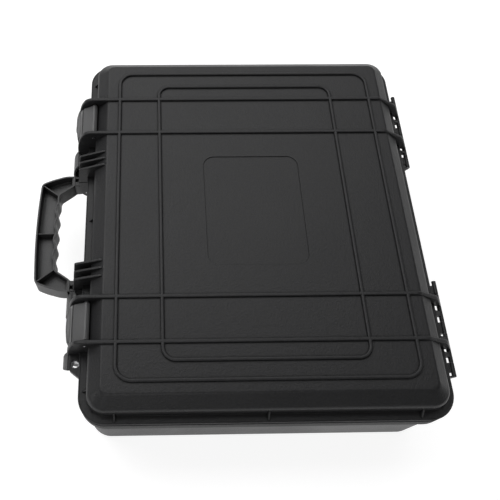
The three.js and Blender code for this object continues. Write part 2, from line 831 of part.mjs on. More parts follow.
// Handle in plan, one half as [along, out] from the middle outwards
const bowSteps = [0, 1, 2, 3, 4];
const gripOuter = bowSteps.map((step) => {
  const share = step / bowSteps.length;
  return [share * gripShoulder, handleReach - handleBow * share * share];
});
const shoulderOutShare = 0.91;
const outerHalf = [
  ...gripOuter,
  [gripShoulder - handleEdge / 2, handleReach - handleBow],
  [gripShoulder + handleEdge / 3, handleReach * shoulderOutShare],
  [armOuter - partingEdge, lugReach],
  [armOuter, lugReach - lugRadius / 2],
  [armOuter, handlePivotOut - lugRadius - overrun],
];
const grooveSteps = 8;
const gripInner = [];
for (let step = 0; step <= fingerCount / 2 * grooveSteps; step += 1) {
  const along = step / grooveSteps * fingerPitch;
  const wave = (1 - Math.cos(2 * Math.PI * along / fingerPitch)) / 2;
  gripInner.push([along, gripInnerOut + fingerDepth * wave]);
}
const innerHalf = [
  ...gripInner,
  [innerShoulder, gripInnerOut],
  [lugInner - handleWall, lugReach],
  [lugInner, lugReach - handleWall],
  [lugInner, handlePivotOut - lugRadius - overrun],
];

function wholeOutline(half) {
  const mirror = half.slice(1).map(([along, out]) => [-along, frontY(out)]).reverse();
  return [...mirror, ...half.map(([along, out]) => [along, frontY(out)])];
}

// Outline shifted sideways by a distance, to the left of its direction
function shifted(outline, distance) {
  return outline.map(([a, b], place) => {
    const [fromA, fromB] = outline[Math.max(place - 1, 0)];
    const [toA, toB] = outline[Math.min(place + 1, outline.length - 1)];
    const length = Math.hypot(toA - fromA, toB - fromB);
    return [a - (toB - fromB) / length * distance, b + (toA - fromA) / length * distance];
  });
}

const outerLine = wholeOutline(outerHalf);
const innerLine = wholeOutline(innerHalf);
const handlePlan = [...outerLine, ...innerLine.slice().reverse()];
const armEnd = lugReach + handleWall / 2;
const pocketOuter = shifted(wholeOutline(outerHalf.slice(0, -2)), handleWall);
const pocketInner = shifted(wholeOutline(innerHalf.slice(0, -2)), -handleWall);
const pocketPlan = [...pocketOuter, ...pocketInner.reverse()];

// Handle from the side: level grip with a rounded lower edge, arms that end round the pin
const lugArc = [];
for (let step = 0; step <= curveSteps * 2; step += 1) {
  const angle = Math.PI / 2 - step / curveSteps / 2 * Math.PI;
  lugArc.push([handleAxisY + lugRadius * Math.cos(angle), handleAxisZ + lugRadius * Math.sin(angle)]);
}
const handleSide = [
  [frontY(handleReach), handleTop],
  [frontY(lugReach), handleTop],
  ...lugArc,
  [frontY(lugReach), handleBottom + partingEdge],
  [frontY(lugReach + lugRadius), handleBottom],
  [frontY(handleReach), handleBottom, handleEdge],
].reverse();
const handleBlank = plateZ(handlePlan, handleBottom - overrun, handleTop + overrun);
const handleBody = handleBlank.intersect(plateX(eased(handleSide, true), -halfLength, halfLength));
const handlePocket = plateZ(pocketPlan, handleBottom + handleFloor, handleTop + overrun);

// Webs left standing in the channel: one across the middle and one at each corner
const webThickness = handleWall * 0.8;
const middleWebX = fingerPitch * 0.12;
const handleWebs = [
  block(
    middleWebX - webThickness / 2,
    middleWebX + webThickness / 2,
    frontY(handleReach),
    frontY(gripInnerOut),
    handleBottom + handleFloor / 2,
    handleTop,
  ),
];
for (const [, side] of sides) {
  const inner = [innerShoulder, frontY(gripInnerOut - handleWall)];
  const outer = [gripShoulder, frontY(handleReach * shoulderOutShare)];
  const line = shifted([inner, outer], webThickness / 2);
  const back = shifted([inner, outer], -webThickness / 2).reverse();
  const plan = mirroredOutline([...back, ...line].reverse(), side);
  handleWebs.push(plateZ(plan, handleBottom + handleFloor / 2, handleTop));
  const endFrom = side * (lugInner - handleWall);
  const endTo = side * armOuter;
  handleWebs.push(block(
    endFrom,
    endTo,
    frontY(armEnd + handleWall),
    frontY(armEnd - handleWall),
    handleBottom + handleFloor / 2,
    handleTop,
  ));
}
const keptWebs = joined(handleWebs).intersect(handleBody);
const handleBores = joined(sides.map(([, side]) => handlePinRod(side, boreRadius(handlePinRadius, pinSides), 0)));
const handle = handleBody.subtract(handlePocket).add(keptWebs).subtract(handleBores);
addPart("handle", handle, plastic);

for (const [name, side] of sides) {
  addPart(`handle_pin_${name}`, handlePinRod(side, handlePinRadius, -seatGap), steel);
}

for (const [name, side] of sides) {
  const from = side * (hingeStart + seatGap);
  const to = side * (hingeEnd - seatGap);
  addPart(`hinge_pin_${name}`, rodX(hingePinRadius, from, to, hingeAxisY, hingeAxisZ, pinSides), steel);
}

// Eyelet: a tube through the ear with a flange on its outer face
function eyelet(side, low, high, flangeLow) {
  const x = side * eyeletX;
  const tube = rodZ(eyeletRadius, x, eyeletY, low, high, fineSides);
  const flange = rodZ(eyeletFlangeRadius, x, eyeletY, flangeLow, flangeLow + eyeletFlange, fineSides);
  const bore = rodZ(eyeletBoreRadius, x, eyeletY, low - overrun, high + overrun, fineSides);
  return tube.add(flange).subtract(bore);
}

for (const [name, side] of sides) {
  const lidTop = lidBottom + earThickness + seatGap;
  addPart(`lid_eyelet_${name}`, eyelet(side, lidBottom, lidTop + eyeletFlange, lidTop), steel);
  const baseLow = baseHeight - earThickness - seatGap - eyeletFlange;
  addPart(`base_eyelet_${name}`, eyelet(side, baseLow, baseHeight, baseLow), steel);
}

// Seal in the groove, pressed by the tongue
const sealInset = tongueInset - grooveClearance + seatGap;
const sealInner = tongueInset + tongueWidth + grooveClearance - seatGap;
const sealTop = grooveTop - seatGap;
addPart("lid_gasket", caseBand(sealInset, sealInner, sealTop - sealThickness, sealTop), rubber);

// Pressure valve: round head outside, stem through the wall, nut inside
const headBack = bossFace - 2 * seatGap - valveSealThickness;
const nutEnd = nutSeat + seatGap + nutThickness;
const headSlots = 6;
let valve = rodY(valveRadius, 0, headBack - valveHead, headBack, valveZ, fineSides);
valve = valve.add(rodY(valveStemRadius, 0, headBack - valveHead / 2, nutEnd + seatGap, valveZ, fineSides));
for (let slot = 0; slot < headSlots; slot += 1) {
  const angle = slot / headSlots * 2 * Math.PI;
  const x = valveRadius * Math.cos(angle);
  const z = valveZ + valveRadius * Math.sin(angle);
  valve = valve.subtract(rodY(valveHead / 2, x, headBack - valveHead - overrun, headBack + overrun, z, pinSides));
}
addPart("pressure_valve", valve, plastic);

// Sealing ring of a round section around the stem
const sectionRadius = valveSealThickness / 2;
const ringGeometry = new THREE.TorusGeometry(valveSealRadius, sectionRadius, curveSteps * 2, fineSides);
ringGeometry.rotateX(Math.PI / 2);
ringGeometry.translate(0, bossFace - seatGap - sectionRadius, valveZ);
addPart("pressure_valve_seal", solid(ringGeometry), rubber);

const nutSides = 6;
const nut = rodY(nutRadius, 0, nutSeat + seatGap, nutEnd, valveZ, nutSides);
const nutBore = rodY(boreRadius(valveStemRadius, fineSides), 0, nutSeat, nutEnd + overrun, valveZ, fineSides);
addPart("pressure_valve_nut", nut.subtract(nutBore), plastic);

// Foam lining: pad on the floor, block with a pocket for the contents, slab in the lid
const foamInset = bottomInset + wall + foamGap;
const padTop = floorTop + seatGap + padThickness;
const padSection = [
  [foamInset + cavityEdge, floorTop + seatGap, 0],
  [foamInset, floorTop + seatGap + cavityEdge, 0],
  [foamInset, padTop, 0],
];
addPart("base_foam_pad", caseLoft(padSection), foam);

const blockBottom = padTop + seatGap;
const blockTop = baseHeight - blockTopDrop;
const foamBlank = caseLoft([[foamInset, blockBottom, 0], [foamInset, blockTop, 0]]);
const foamPocket = loft([
  ring(pocketHalfLength, pocketHalfDepth, pocketRadius, blockBottom - overrun),
  ring(pocketHalfLength, pocketHalfDepth, pocketRadius, blockTop + overrun),
]);
const nutRoomHalf = valveBossRadius + foamGap * 2;
const nutRoom = block(
  -nutRoomHalf,
  nutRoomHalf,
  frontY(0),
  nutEnd + foamGap * 2,
  valveZ - nutRoomHalf,
  valveZ + nutRoomHalf,
);
addPart("base_foam_block", foamBlank.subtract(foamPocket).subtract(nutRoom), foam);

const lidFoamSection = [
  [rimWidth + foamGap, lidBottom + lidFoamRise],
  [rimWidth + foamGap, ledgeZ - partingEdge - foamGap],
  [lipInset + wall + foamGap, lipZ - wall * lipInnerShare - foamGap],
  [panelInset + partingEdge + foamGap * 2, panelZ - wall - foamGap],
];
addPart("lid_foam", caseLoft(lidFoamSection), foam);

// Origin: middle of the whole closed case with its handle, on the floor
caseGroup.position.set(0, (handleReach - hingeOut - hingeBarrelRadius) / 2, 0);

export default caseGroup;
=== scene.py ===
import bpy
import math
import numpy as np
from mathutils import Matrix
from mathutils.geometry import tessellate_polygon


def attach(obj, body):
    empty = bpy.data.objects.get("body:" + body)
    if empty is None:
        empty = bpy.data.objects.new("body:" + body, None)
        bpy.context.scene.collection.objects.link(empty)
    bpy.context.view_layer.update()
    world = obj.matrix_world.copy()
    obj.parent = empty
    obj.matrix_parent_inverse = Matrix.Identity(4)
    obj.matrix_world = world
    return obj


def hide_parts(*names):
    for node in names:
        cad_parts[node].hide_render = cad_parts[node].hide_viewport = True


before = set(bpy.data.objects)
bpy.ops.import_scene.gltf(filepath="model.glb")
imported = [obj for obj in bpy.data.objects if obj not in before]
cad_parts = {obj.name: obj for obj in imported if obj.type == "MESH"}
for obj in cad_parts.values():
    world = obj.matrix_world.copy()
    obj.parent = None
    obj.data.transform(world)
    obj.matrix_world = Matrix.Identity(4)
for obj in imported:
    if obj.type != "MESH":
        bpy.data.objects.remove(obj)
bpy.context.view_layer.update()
print("stage 1: frame loaded")

# Millimetres in the case's own frame: X along it, Y from handle to hinges, Z up from the floor.
case = {
    "halfLength": 215.0, "halfDepth": 179.0, "cornerRadius": 26.5, "wall": 3.3, "rimWidth": 7.9,
    "shiftY": 23.6, "perCorner": 18, "hair": 0.03, "footZ": 2.5, "baseRimZ": 76.4, "baseZ": 88.0,
    "lidZ": 88.4, "ledgeZ": 99.0, "lipZ": 113.1, "panelZ": 124.0, "ribTop": 126.2, "creaseInset": 8.2,
    "lipInset": 9.1, "panelInset": 22.7, "panelRadius": 8.5, "baseInset": 3.5, "bottomInset": 4.6,
}
mm = 0.001


# Y of a point that lies so far out from the edge of the rim
def frontY(out):
    return -case["halfDepth"] - out


def rearY(out):
    return case["halfDepth"] + out


# curves and surfaces

def roundLoop(halfX, halfY, radius, perCorner):
    # each corner is its centre plus the radius times cosine and sine of an angle that turns a quarter
    quarter = np.arange(4)[:, None]
    angle = (quarter + np.linspace(0, 1, perCorner + 1)[None, :]) * math.pi / 2
    signX = np.array([1, -1, -1, 1])[:, None]
    signY = np.array([1, 1, -1, -1])[:, None]
    x = signX * (halfX - radius) + radius * np.cos(angle)
    y = signY * (halfY - radius) + radius * np.sin(angle)
    return np.stack([x, y], -1).reshape(-1, 2)


def eased(points, closed=False, steps=5):
    # a corner [a, b, ease] becomes a quadratic curve between the points the ease away on both its sides
    result = []
    count = len(points)
    for place, point in enumerate(points):
        corner = np.array(point[:2], float)
        ease = point[2]
        atEnd = not closed and place in (0, count - 1)
        if not ease or atEnd:
            result.append(corner)
            continue
        ends = []
        for beside in (points[place - 1], points[(place + 1) % count]):
            way = np.array(beside[:2], float) - corner
            length = np.linalg.norm(way)
            ends.append(corner + way / length * min(ease, length * 0.49))
        start, end = ends
        for t in np.linspace(0, 1, steps + 1):
            result.append((1 - t) ** 2 * start + 2 * t * (1 - t) * corner + t * t * end)
    return np.array(result)


def splineThrough(points, perSpan=8):
    # uniform Catmull-Rom curve through the points, its end points doubled
    points = np.array(points, float)
    padded = np.vstack([points[:1], points, points[-1:]])
    t = np.linspace(0, 1, perSpan, endpoint=False)[:, None]
    spans = []
    for place in range(len(points) - 1):
        p0, p1, p2, p3 = padded[place:place + 4]
        spans.append(0.5 * (2 * p1 + (p2 - p0) * t + (2 * p0 - 5 * p1 + 4 * p2 - p3) * t ** 2
                            + (3 * p1 - p0 - 3 * p2 + p3) * t ** 3))
    return np.vstack(spans + [points[-1:]])


def signedArea(loop):
    # half the sum of the cross products of neighbours, positive when the loop turns left
    x, y = loop[:, 0], loop[:, 1]
    return 0.5 * np.sum(x * np.roll(y, -1) - np.roll(x, -1) * y)


def leftTurning(loop):
    return loop if signedArea(loop) > 0 else loop[::-1]


def offsetLoop(loop, distance):
    # every point moves to its left by the mitre of its two edges
    back = loop - np.roll(loop, 1, 0)
    ahead = np.roll(loop, -1, 0) - loop
    back = back / np.maximum(np.linalg.norm(back, axis=1, keepdims=True), 1e-9)
    ahead = ahead / np.maximum(np.linalg.norm(ahead, axis=1, keepdims=True), 1e-9)
    leftBack = np.stack([-back[:, 1], back[:, 0]], -1)
    leftAhead = np.stack([-ahead[:, 1], ahead[:, 0]], -1)
    mitre = leftBack + leftAhead
    scale = np.maximum(1 + np.sum(leftBack * leftAhead, axis=1, keepdims=True), 0.35)
    return loop + mitre / scale * distance


def facedOut(verts, quads, polygons):
    # the signed volume of a closed shell tells whether its faces point out
    corners = [verts[quads[:, [0, 1, 2]]], verts[quads[:, [0, 2, 3]]]]
    for polygon in polygons:
        fan = np.array([[polygon[0], polygon[k], polygon[k + 1]] for k in range(1, len(polygon) - 1)])
        corners.append(verts[fan])
    triangles = np.concatenate(corners)
    volume = np.einsum("ij,ij->i", triangles[:, 0], np.cross(triangles[:, 1], triangles[:, 2])).sum()
    faces = quads.tolist() + polygons
    if volume < 0:
        faces = [face[::-1] for face in faces]
    return verts, faces


def gridQuads(levels, around, ringed):
    # a quad between each level and the next, round a closed loop
    level = np.arange(levels if ringed else levels - 1)[:, None]
    step = np.arange(around)[None, :]
    nextLevel = (level + 1) % levels
    nextStep = (step + 1) % around
    quads = np.stack([
        level * around + step, level * around + nextStep,
        nextLevel * around + nextStep, nextLevel * around + step,
    ], -1)
    return quads.reshape(-1, 4)


def shellOf(grid, ringed=False):
    # grid of levels by points round, closed by a flat face at both ends unless it closes on itself
    levels, around = grid.shape[:2]
    first, last = list(range(around)), list(range((levels - 1) * around, levels * around))
    ends = [] if ringed else [first, last[::-1]]
    return facedOut(grid.reshape(-1, 3), gridQuads(levels, around, ringed), ends)


def atHeight(loop, z):
    return np.column_stack([loop, np.full(len(loop), z)])


def loftRows(rows, perCorner=None):
    # rows of half length, half depth, corner radius and height
    return np.stack([atHeight(roundLoop(a, b, r, perCorner or case["perCorner"]), z) for a, b, r, z in rows])


def grownRows(size, steps):
    # a rounded rectangle's half sizes and radius grown by each step's first number, at its second as height
    halfX, halfY, radius = size
    return [(halfX + o, halfY + o, radius + o, z) for o, z in steps]


def insetRows(section):
    # points of inset and height on the case's section
    return [(case["halfLength"] - inset, case["halfDepth"] - inset,
             max(case["cornerRadius"] - inset, case["panelRadius"]), z) for inset, z in section]


def placed(points, height, axis):
    # plane coordinates and height put on the axis that the plate is thick along
    a, b = points[..., 0], points[..., 1]
    order = {"x": (height, a, b), "y": (a, height, b), "z": (a, b, height)}[axis]
    return np.stack(np.broadcast_arrays(*order), -1)


def flatFaces(loops):
    # triangles over the area between flat loops, all turned the same way, without those that have no area
    triangles = np.array(tessellate_polygon([[(x, y, 0.0) for x, y in loop] for loop in loops]))
    corner = np.concatenate(loops)[triangles]
    spanA, spanB = corner[:, 1] - corner[:, 0], corner[:, 2] - corner[:, 0]
    area = spanA[:, 0] * spanB[:, 1] - spanA[:, 1] * spanB[:, 0]
    triangles[area < 0] = triangles[area < 0][:, ::-1]
    return triangles[np.abs(area) > 1e-9]


def bothEnds(triangles, lowIndex, highIndex):
    # the same triangles on the low end, turned over, and on the high end
    lowFaces = [[int(i) for i in lowIndex[t[::-1]]] for t in triangles]
    return lowFaces + [[int(i) for i in highIndex[t]] for t in triangles]


def quarterRound(edge, steps):
    # draw-in and rise of points on a quarter circle, from an end face to the side
    turn = np.linspace(0, math.pi / 2, steps + 1)
    return edge * (1 - np.sin(turn)), edge * (1 - np.cos(turn))


def evenAngles(count):
    return np.linspace(0, 2 * math.pi, count, endpoint=False)


def plate(outline, low, high, axis, edge=0.5, holes=(), steps=3):
    # loops at rising height, drawn in at both ends by a quarter circle, and flat ends with the holes open
    loops = [leftTurning(np.array(outline, float))] + [leftTurning(hole)[::-1] for hole in holes]
    inward, up = quarterRound(edge, steps)
    drawIn = np.concatenate([inward, inward[::-1]])
    rise = np.concatenate([low + up, (high - up)[::-1]])
    verts, quads, start, lowRings, highRings = [], [], 0, [], []
    for loop in loops:
        grid = np.stack([placed(offsetLoop(loop, d), z, axis) for d, z in zip(drawIn, rise)])
        quads.append(gridQuads(len(grid), len(loop), False) + start)
        lowRings.append(np.arange(len(loop)) + start)
        highRings.append(np.arange(len(loop)) + start + (len(grid) - 1) * len(loop))
        verts.append(grid.reshape(-1, 3))
        start += len(verts[-1])
    triangles = flatFaces([offsetLoop(loop, edge) for loop in loops])
    ends = bothEnds(triangles, np.concatenate(lowRings), np.concatenate(highRings))
    return facedOut(np.concatenate(verts), np.concatenate(quads), ends)


def spanAt(side, start, end):
    # two places along X, mirrored to the left for side -1, the lower one first
    return sorted((side * start, side * end))


def sidePlate(outline, side, start, end, edge):
    # plate between two places along X
    low, high = spanAt(side, start, end)
    return plate(outline, low, high, "x", edge)


def turned(profile, centre, axis, steps=40, ringed=True):
    # profile of radius and place along the axis, turned once round the axis through the centre
    angle = evenAngles(steps)
    profile = np.array(profile, float)
    a = profile[:, :1] * np.cos(angle)
    b = profile[:, :1] * np.sin(angle)
    along = np.repeat(profile[:, 1:2], steps, 1)
    cx, cy, cz = centre
    order = {"x": (along, a + cy, b + cz), "y": (a + cx, along, b + cz), "z": (a + cx, b + cy, along)}[axis]
    return shellOf(np.stack(order, -1), ringed)


def rodProfile(radius, low, high, edge, dome=0.0):
    # straight pin with rounded ends
    turn = np.linspace(0, math.pi / 2, 5)
    first = [(max(radius - edge + edge * math.sin(t), 0.02), low + edge * (1 - math.cos(t))) for t in turn]
    tip = [(0.02, low - dome), (radius * 0.5, low - dome * 0.75)] if dome else [(0.02, low)]
    ending = [(r, high - (z - low)) for r, z in (tip + first)[::-1]]
    return tip + first + ending


def pivot(settings):
    return (0, settings["axisY"], settings["axisZ"])


def tubeProfile(outer, inner, low, high, edge):
    # rectangle between two radii, its corners eased
    corners = [(outer, low, edge), (outer, high, edge), (inner, high, edge), (inner, low, edge)]
    return eased(corners, closed=True, steps=3)


def newObject(name, data):
    made = bpy.data.objects.new(name, data)
    bpy.context.scene.collection.objects.link(made)
    return made


def makePiece(name, shells, material, body, nodes, sharp=38.0):
    # all shells of one piece go into one mesh, in metres in the row frame
    verts, faces, start = [], [], 0
    for v, f in shells:
        verts.append(v)
        faces += [[i + start for i in face] for face in f]
        start += len(v)
    points = (np.concatenate(verts) + [0, case["shiftY"], 0]) * mm
    mesh = bpy.data.meshes.new(name)
    mesh.from_pydata(points.tolist(), [], faces)
    mesh.validate()
    mesh.polygons.foreach_set("use_smooth", np.ones(len(mesh.polygons), bool))
    mesh.set_sharp_from_angle(angle=math.radians(sharp))
    mesh.materials.append(material)
    piece = newObject(name, mesh)
    piece.modifiers.new("evenNormals", "WEIGHTED_NORMAL").keep_sharp = True
    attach(piece, body)
    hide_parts(*nodes)
    return piece


# materials

def setInputs(node, values):
    for name, value in values.items():
        node.inputs[name].default_value = value


def newMaterial(name):
    material = bpy.data.materials.new(name)
    material.use_nodes = True
    return material, material.node_tree, material.node_tree.nodes["Principled BSDF"]


def noiseFac(tree, values):
    # noise on the piece's own coordinates
    noise = tree.nodes.new("ShaderNodeTexNoise")
    setInputs(noise, values)
    place = tree.nodes.new("ShaderNodeTexCoord")
    tree.links.new(place.outputs["Object"], noise.inputs["Vector"])
    return noise.outputs["Fac"]


def remapped(tree, source, fromRange, toRange):
    # straight change from one range to the other, held at its ends
    change = tree.nodes.new("ShaderNodeMapRange")
    setInputs(change, dict(zip(("From Min", "From Max", "To Min", "To Max"), (*fromRange, *toRange))))
    tree.links.new(source, change.inputs["Value"])
    return change.outputs["Result"]


def combined(tree, operation, first, second):
    node = tree.nodes.new("ShaderNodeMath")
    node.operation = operation
    tree.links.new(first, node.inputs[0])
    tree.links.new(second, node.inputs[1])
    return node.outputs["Value"]


def colorMix(tree, share, values):
    # one colour plus the share times the difference to the other
    mix = tree.nodes.new("ShaderNodeMix")
    mix.data_type = "RGBA"
    setInputs(mix, {name: (*color, 1) for name, color in values.items()})
    tree.links.new(share, mix.inputs["Factor"])
    return mix


noiseRange = (0.3, 0.7)  # where nearly all values of the noise lie


def plasticMaterial(name, look):
    # slow noise blends two greys and sets the roughness, a fine grain flecks the colour and gives the relief,
    # and painted shade darkens the colour where faces close in
    material, tree, shader = newMaterial(name)
    shader.inputs["Specular IOR Level"].default_value = look["specular"]
    grain = noiseFac(tree, {"Scale": look["grainScale"], "Detail": 3, "Roughness": 0.6})
    cloud = noiseFac(tree, {"Scale": look["cloudScale"], "Detail": 4})
    fleck = remapped(tree, grain, noiseRange, (-0.35, 0.35))
    flecked = combined(tree, "ADD", cloud, fleck)
    tint = colorMix(tree, flecked, {"A": look["darkColor"], "B": look["lightColor"]})
    # painted shade: the colour darkens where nearby faces close in, from an ambient occlusion node, and the
    # roughness rises there too
    near = tree.nodes.new("ShaderNodeAmbientOcclusion")
    near.samples = 6
    near.inputs["Distance"].default_value = look["paintedShadeReach"]
    unshaded = remapped(tree, near.outputs["AO"], (0.45, 0.92), (0, 1))
    deep = colorMix(tree, unshaded, {"A": paintedShadeColor})
    tree.links.new(tint.outputs["Result"], deep.inputs["B"])
    tree.links.new(deep.outputs["Result"], shader.inputs["Base Color"])
    rough = remapped(tree, cloud, noiseRange, look["roughness"])
    duller = remapped(tree, unshaded, (0, 1), (look["creviceRoughness"], 0))
    tree.links.new(combined(tree, "ADD", rough, duller), shader.inputs["Roughness"])
    bump = tree.nodes.new("ShaderNodeBump")
    setInputs(bump, {"Strength": look["bump"], "Distance": look["bumpDepth"]})
    tree.links.new(grain, bump.inputs["Height"])
    tree.links.new(bump.outputs["Normal"], shader.inputs["Normal"])
    return material


# near-black that the colour fades to where faces close in: painted shade, spread as far as each look's reach
paintedShadeColor = (0.004, 0.004, 0.004)
wideCrevicePaintedShade = {"paintedShadeReach": 0.0028, "creviceRoughness": 0.25}
shellLook = {
    "specular": 0.27, "grainScale": 520, "cloudScale": 14, "darkColor": (0.010, 0.010, 0.0105),
    "lightColor": (0.017, 0.017, 0.018), "roughness": (0.40, 0.48), "bump": 0.6, "bumpDepth": 0.0005,
    "paintedShadeReach": 0.0022, "creviceRoughness": 0.25,
}
# the rims: rougher and less glossy than the shell, and darker in colour as painted shade
rimShadedLook = {
    **shellLook, "specular": 0.23, "darkColor": (0.008, 0.008, 0.0083), "lightColor": (0.013, 0.013, 0.0135),
    "roughness": (0.56, 0.64), "creviceRoughness": 0.15,
}
handleLook = {
    **shellLook, "specular": 0.42, "grainScale": 560, "darkColor": (0.018, 0.018, 0.0185),
    "lightColor": (0.028, 0.028, 0.029), "bump": 0.5, "bumpDepth": 0.0004, "paintedShadeReach": 0.005,
}
latchLook = {
    "specular": 0.85, "grainScale": 1100, "cloudScale": 20, "darkColor": (0.037, 0.037, 0.038),
    "lightColor": (0.052, 0.052, 0.053), "roughness": (0.38, 0.48), "bump": 0.2, "bumpDepth": 0.00015,
    **wideCrevicePaintedShade,
}
rubberLook = {
    "specular": 0.3, "grainScale": 1500, "cloudScale": 30, "darkColor": (0.012, 0.012, 0.012),
    "lightColor": (0.022, 0.022, 0.022), "roughness": (0.75, 0.9), "bump": 0.3, "bumpDepth": 0.0001,
    **wideCrevicePaintedShade,
}
foamLook = {
    "specular": 0.1, "grainScale": 620, "cloudScale": 18, "darkColor": (0.014, 0.014, 0.016),
    "lightColor": (0.050, 0.050, 0.056), "roughness": (0.93, 1.0), "bump": 1.0, "bumpDepth": 0.0012,
    **wideCrevicePaintedShade,
}
shellPlastic = plasticMaterial("shellPlastic", shellLook)
rimShadedPlastic = plasticMaterial("rimShadedPlastic", rimShadedLook)
latchPlastic = plasticMaterial("latchPlastic", latchLook)
handlePlastic = plasticMaterial("handlePlastic", handleLook)
sealRubber = plasticMaterial("sealRubber", rubberLook)
liningFoam = plasticMaterial("liningFoam", foamLook)
steelLook = {"color": (0.28, 0.28, 0.29), "roughness": (0.2, 0.36), "turnScale": 2600}


def steelMaterial():
    # fine noise varies the roughness
    material, tree, shader = newMaterial("brightSteel")
    setInputs(shader, {"Base Color": (*steelLook["color"], 1), "Metallic": 1})
    turning = noiseFac(tree, {"Scale": steelLook["turnScale"]})
    rough = remapped(tree, turning, (0, 1), steelLook["roughness"])
    tree.links.new(rough, shader.inputs["Roughness"])
    return material


brightSteel = steelMaterial()

# lid

lid = {
    "grooveInset": 2.1, "grooveInner": 5.7, "grooveTop": 94.4, "recess": (64.8, 51.2, 11.8),
    "recessDepth": 0.8, "rimSink": 0.9, "bead": 0.3, "beadInset": 1.5, "rearBend": 24.5, "shoulderDrop": 14.3,
    "outerLoop": (180.0, 142.6, 15.0), "innerLoop": (161.1, 98.1, 12.0), "ribHalf": 2.0, "ribEdge": 1.5,
    "straps": (-143.195, -97.395, 97.395, 143.195), "strapRoot": 34.0,
    "finHalf": 2.0, "finEdge": 1.1, "finReach": 13.2,
    "gussets": (57.0, 65.5, 74.0), "gussetWidth": 2.5, "gussetReach": 11.1,
    "webWidth": 1.8, "webReach": 2.0, "webSideY": (-144.0, 0.0, 144.0), "webLongX": (-184.0, 0.0, 184.0),
    "earReach": 11.2, "earLength": 26.3, "earStraight": 17.3, "earThickness": 6.0, "lidEarThickness": 3.2,
    "holeX": 155.0, "holeOut": 5.0, "holeRadius": 4.2,
}


def lidBody():
    # section from the panel over slope, ledge and rim, round the groove and back up the inside
    ledge, lip, panel, low = case["ledgeZ"], case["lipZ"], case["panelZ"], case["lidZ"]
    wall, bead, sink, top = case["wall"], lid["beadInset"], lid["rimSink"], lid["grooveTop"]
    flat = case["panelInset"]
    section = eased([
        [flat + 6, panel, 0], [flat, panel, 1.6], [case["lipInset"], lip, 3.2],
        [case["creaseInset"], ledge, 0.6], [bead, ledge, 0.3], [bead * 0.7, ledge + lid["bead"], 0.3],
        [0, ledge + lid["bead"], 0.6], [0, ledge - 0.9, 0.25], [sink, ledge - 1.6, 0.3],
        [sink, low + 3.0, 0.3], [0, low + 2.2, 0.25], [0, low, 1.0], [lid["grooveInset"], low, 0.25],
        [lid["grooveInset"], top, 0.4], [lid["grooveInner"], top, 0.4], [lid["grooveInner"], low, 0.25],
        [case["rimWidth"], low, 0.4], [case["rimWidth"], ledge - wall, 0.8],
        [case["creaseInset"] + wall, ledge - wall, 1.0], [case["lipInset"] + wall, lip - 1.8, 2.0],
        [flat + 0.5, panel - wall, 2.5], [flat + 8, panel - wall, 0],
    ])
    depth = lid["recessDepth"]
    steps = ((-0.5, depth), (0, depth), (0.1, 0.3), (0.25, 0.08), (0.6, 0))
    recess = grownRows(lid["recess"], [(o, panel - down) for o, down in steps])
    return shellOf(loftRows(recess + insetRows(section)))


def ribProfile():
    # offset across the rib and height, a low rib with rounded shoulders
    half, edge = lid["ribHalf"], lid["ribEdge"]
    low, top = case["panelZ"] - 0.6, case["ribTop"]
    lean = half - 0.25
    return eased([[-half, low, 0], [-lean, top, edge], [lean, top, edge], [half, low, 0]], steps=6)


def ribLoop(size):
    # the rib's profile carried round a rounded rectangle
    return shellOf(loftRows(grownRows(size, ribProfile())), ringed=True)


def insideLine(deep):
    # line inside the lid's wall at the front, from the rim up to the panel, as out from the flange and height
    ceiling = case["panelZ"] - 1.6
    return [(-1.5, case["lidZ"] + case["hair"]), (-1.5, case["ledgeZ"] - 1.2), (-10.2, case["ledgeZ"] - 1.2),
            (-11.0, case["lipZ"] - 0.7), (-case["panelInset"] - 1, ceiling), (-deep, ceiling)]


def strapOutline():
    # front fin's curve, flat over the ribs, straight down the rear slope, steeply onto the hinge barrel
    top, low = case["ribTop"] - 0.02, case["lidZ"]
    finShares = [[-0.606, 1], [-0.197, 0.992], [0.197, 0.931], [0.447, 0.825], [0.636, 0.704],
                 [0.773, 0.566], [0.879, 0.413], [0.955, 0.254], [0.992, 0.108], [1, 0.001]]
    fin = splineThrough(finShares)
    fin[:, 1] = np.minimum(fin[:, 1], 1)
    front = [(frontY(o * lid["finReach"]), low + s * (top - low)) for o, s in fin]
    axisY, axisZ, r = hinge["axisY"], hinge["axisZ"], hinge["radius"]
    rear = eased([[rearY(-40.0), top, 0], [rearY(-lid["rearBend"]), top, 3.0],
                  [rearY(-0.5), case["ribTop"] - lid["shoulderDrop"], 3.0], [axisY + r * 0.64, axisZ + r, 0]])
    inside = insideLine(lid["strapRoot"])
    rearInside = [(rearY(o), z) for o, z in inside][1:][::-1]
    frontInside = [(frontY(o), z) for o, z in inside][::-1]
    over = [(y, top) for y in np.linspace(front[0][0], rear[0][0], 24)][1:-1]
    ceiling = rearInside[0][1]
    under = [(y, ceiling) for y in np.linspace(rearInside[0][0], frontInside[0][0], 24)][1:-1]
    outside = front[::-1] + over + list(map(tuple, rear)) + [(axisY, axisZ)]
    return np.array(outside + rearInside + under + frontInside)


def wallPlates():
    # small webs between the lid's wall and its ledge, longer on the short sides
    ledge, lip = case["ledgeZ"], case["lipZ"]
    shells = []
    for reach, drop, width, half, places, axis in (
            (lid["webReach"], 5.5, lid["webWidth"], case["halfLength"], lid["webSideY"], "y"),
            (lid["webReach"] + 2.2, 7.5, lid["webWidth"] - 0.4, case["halfDepth"], lid["webLongX"], "x")):
        section = np.array([(-9.6, ledge - 1.0), (-reach, ledge - 1.0), (-reach, ledge + 0.4),
                            (-8.4, lip - drop), (-10.4, lip - drop)])
        for side in (-1, 1):
            outline = np.column_stack([side * (half + section[:, 0]), section[:, 1]])
            shells += [plate(outline, place - width / 2, place + width / 2, axis, 0.4) for place in places]
    return shells


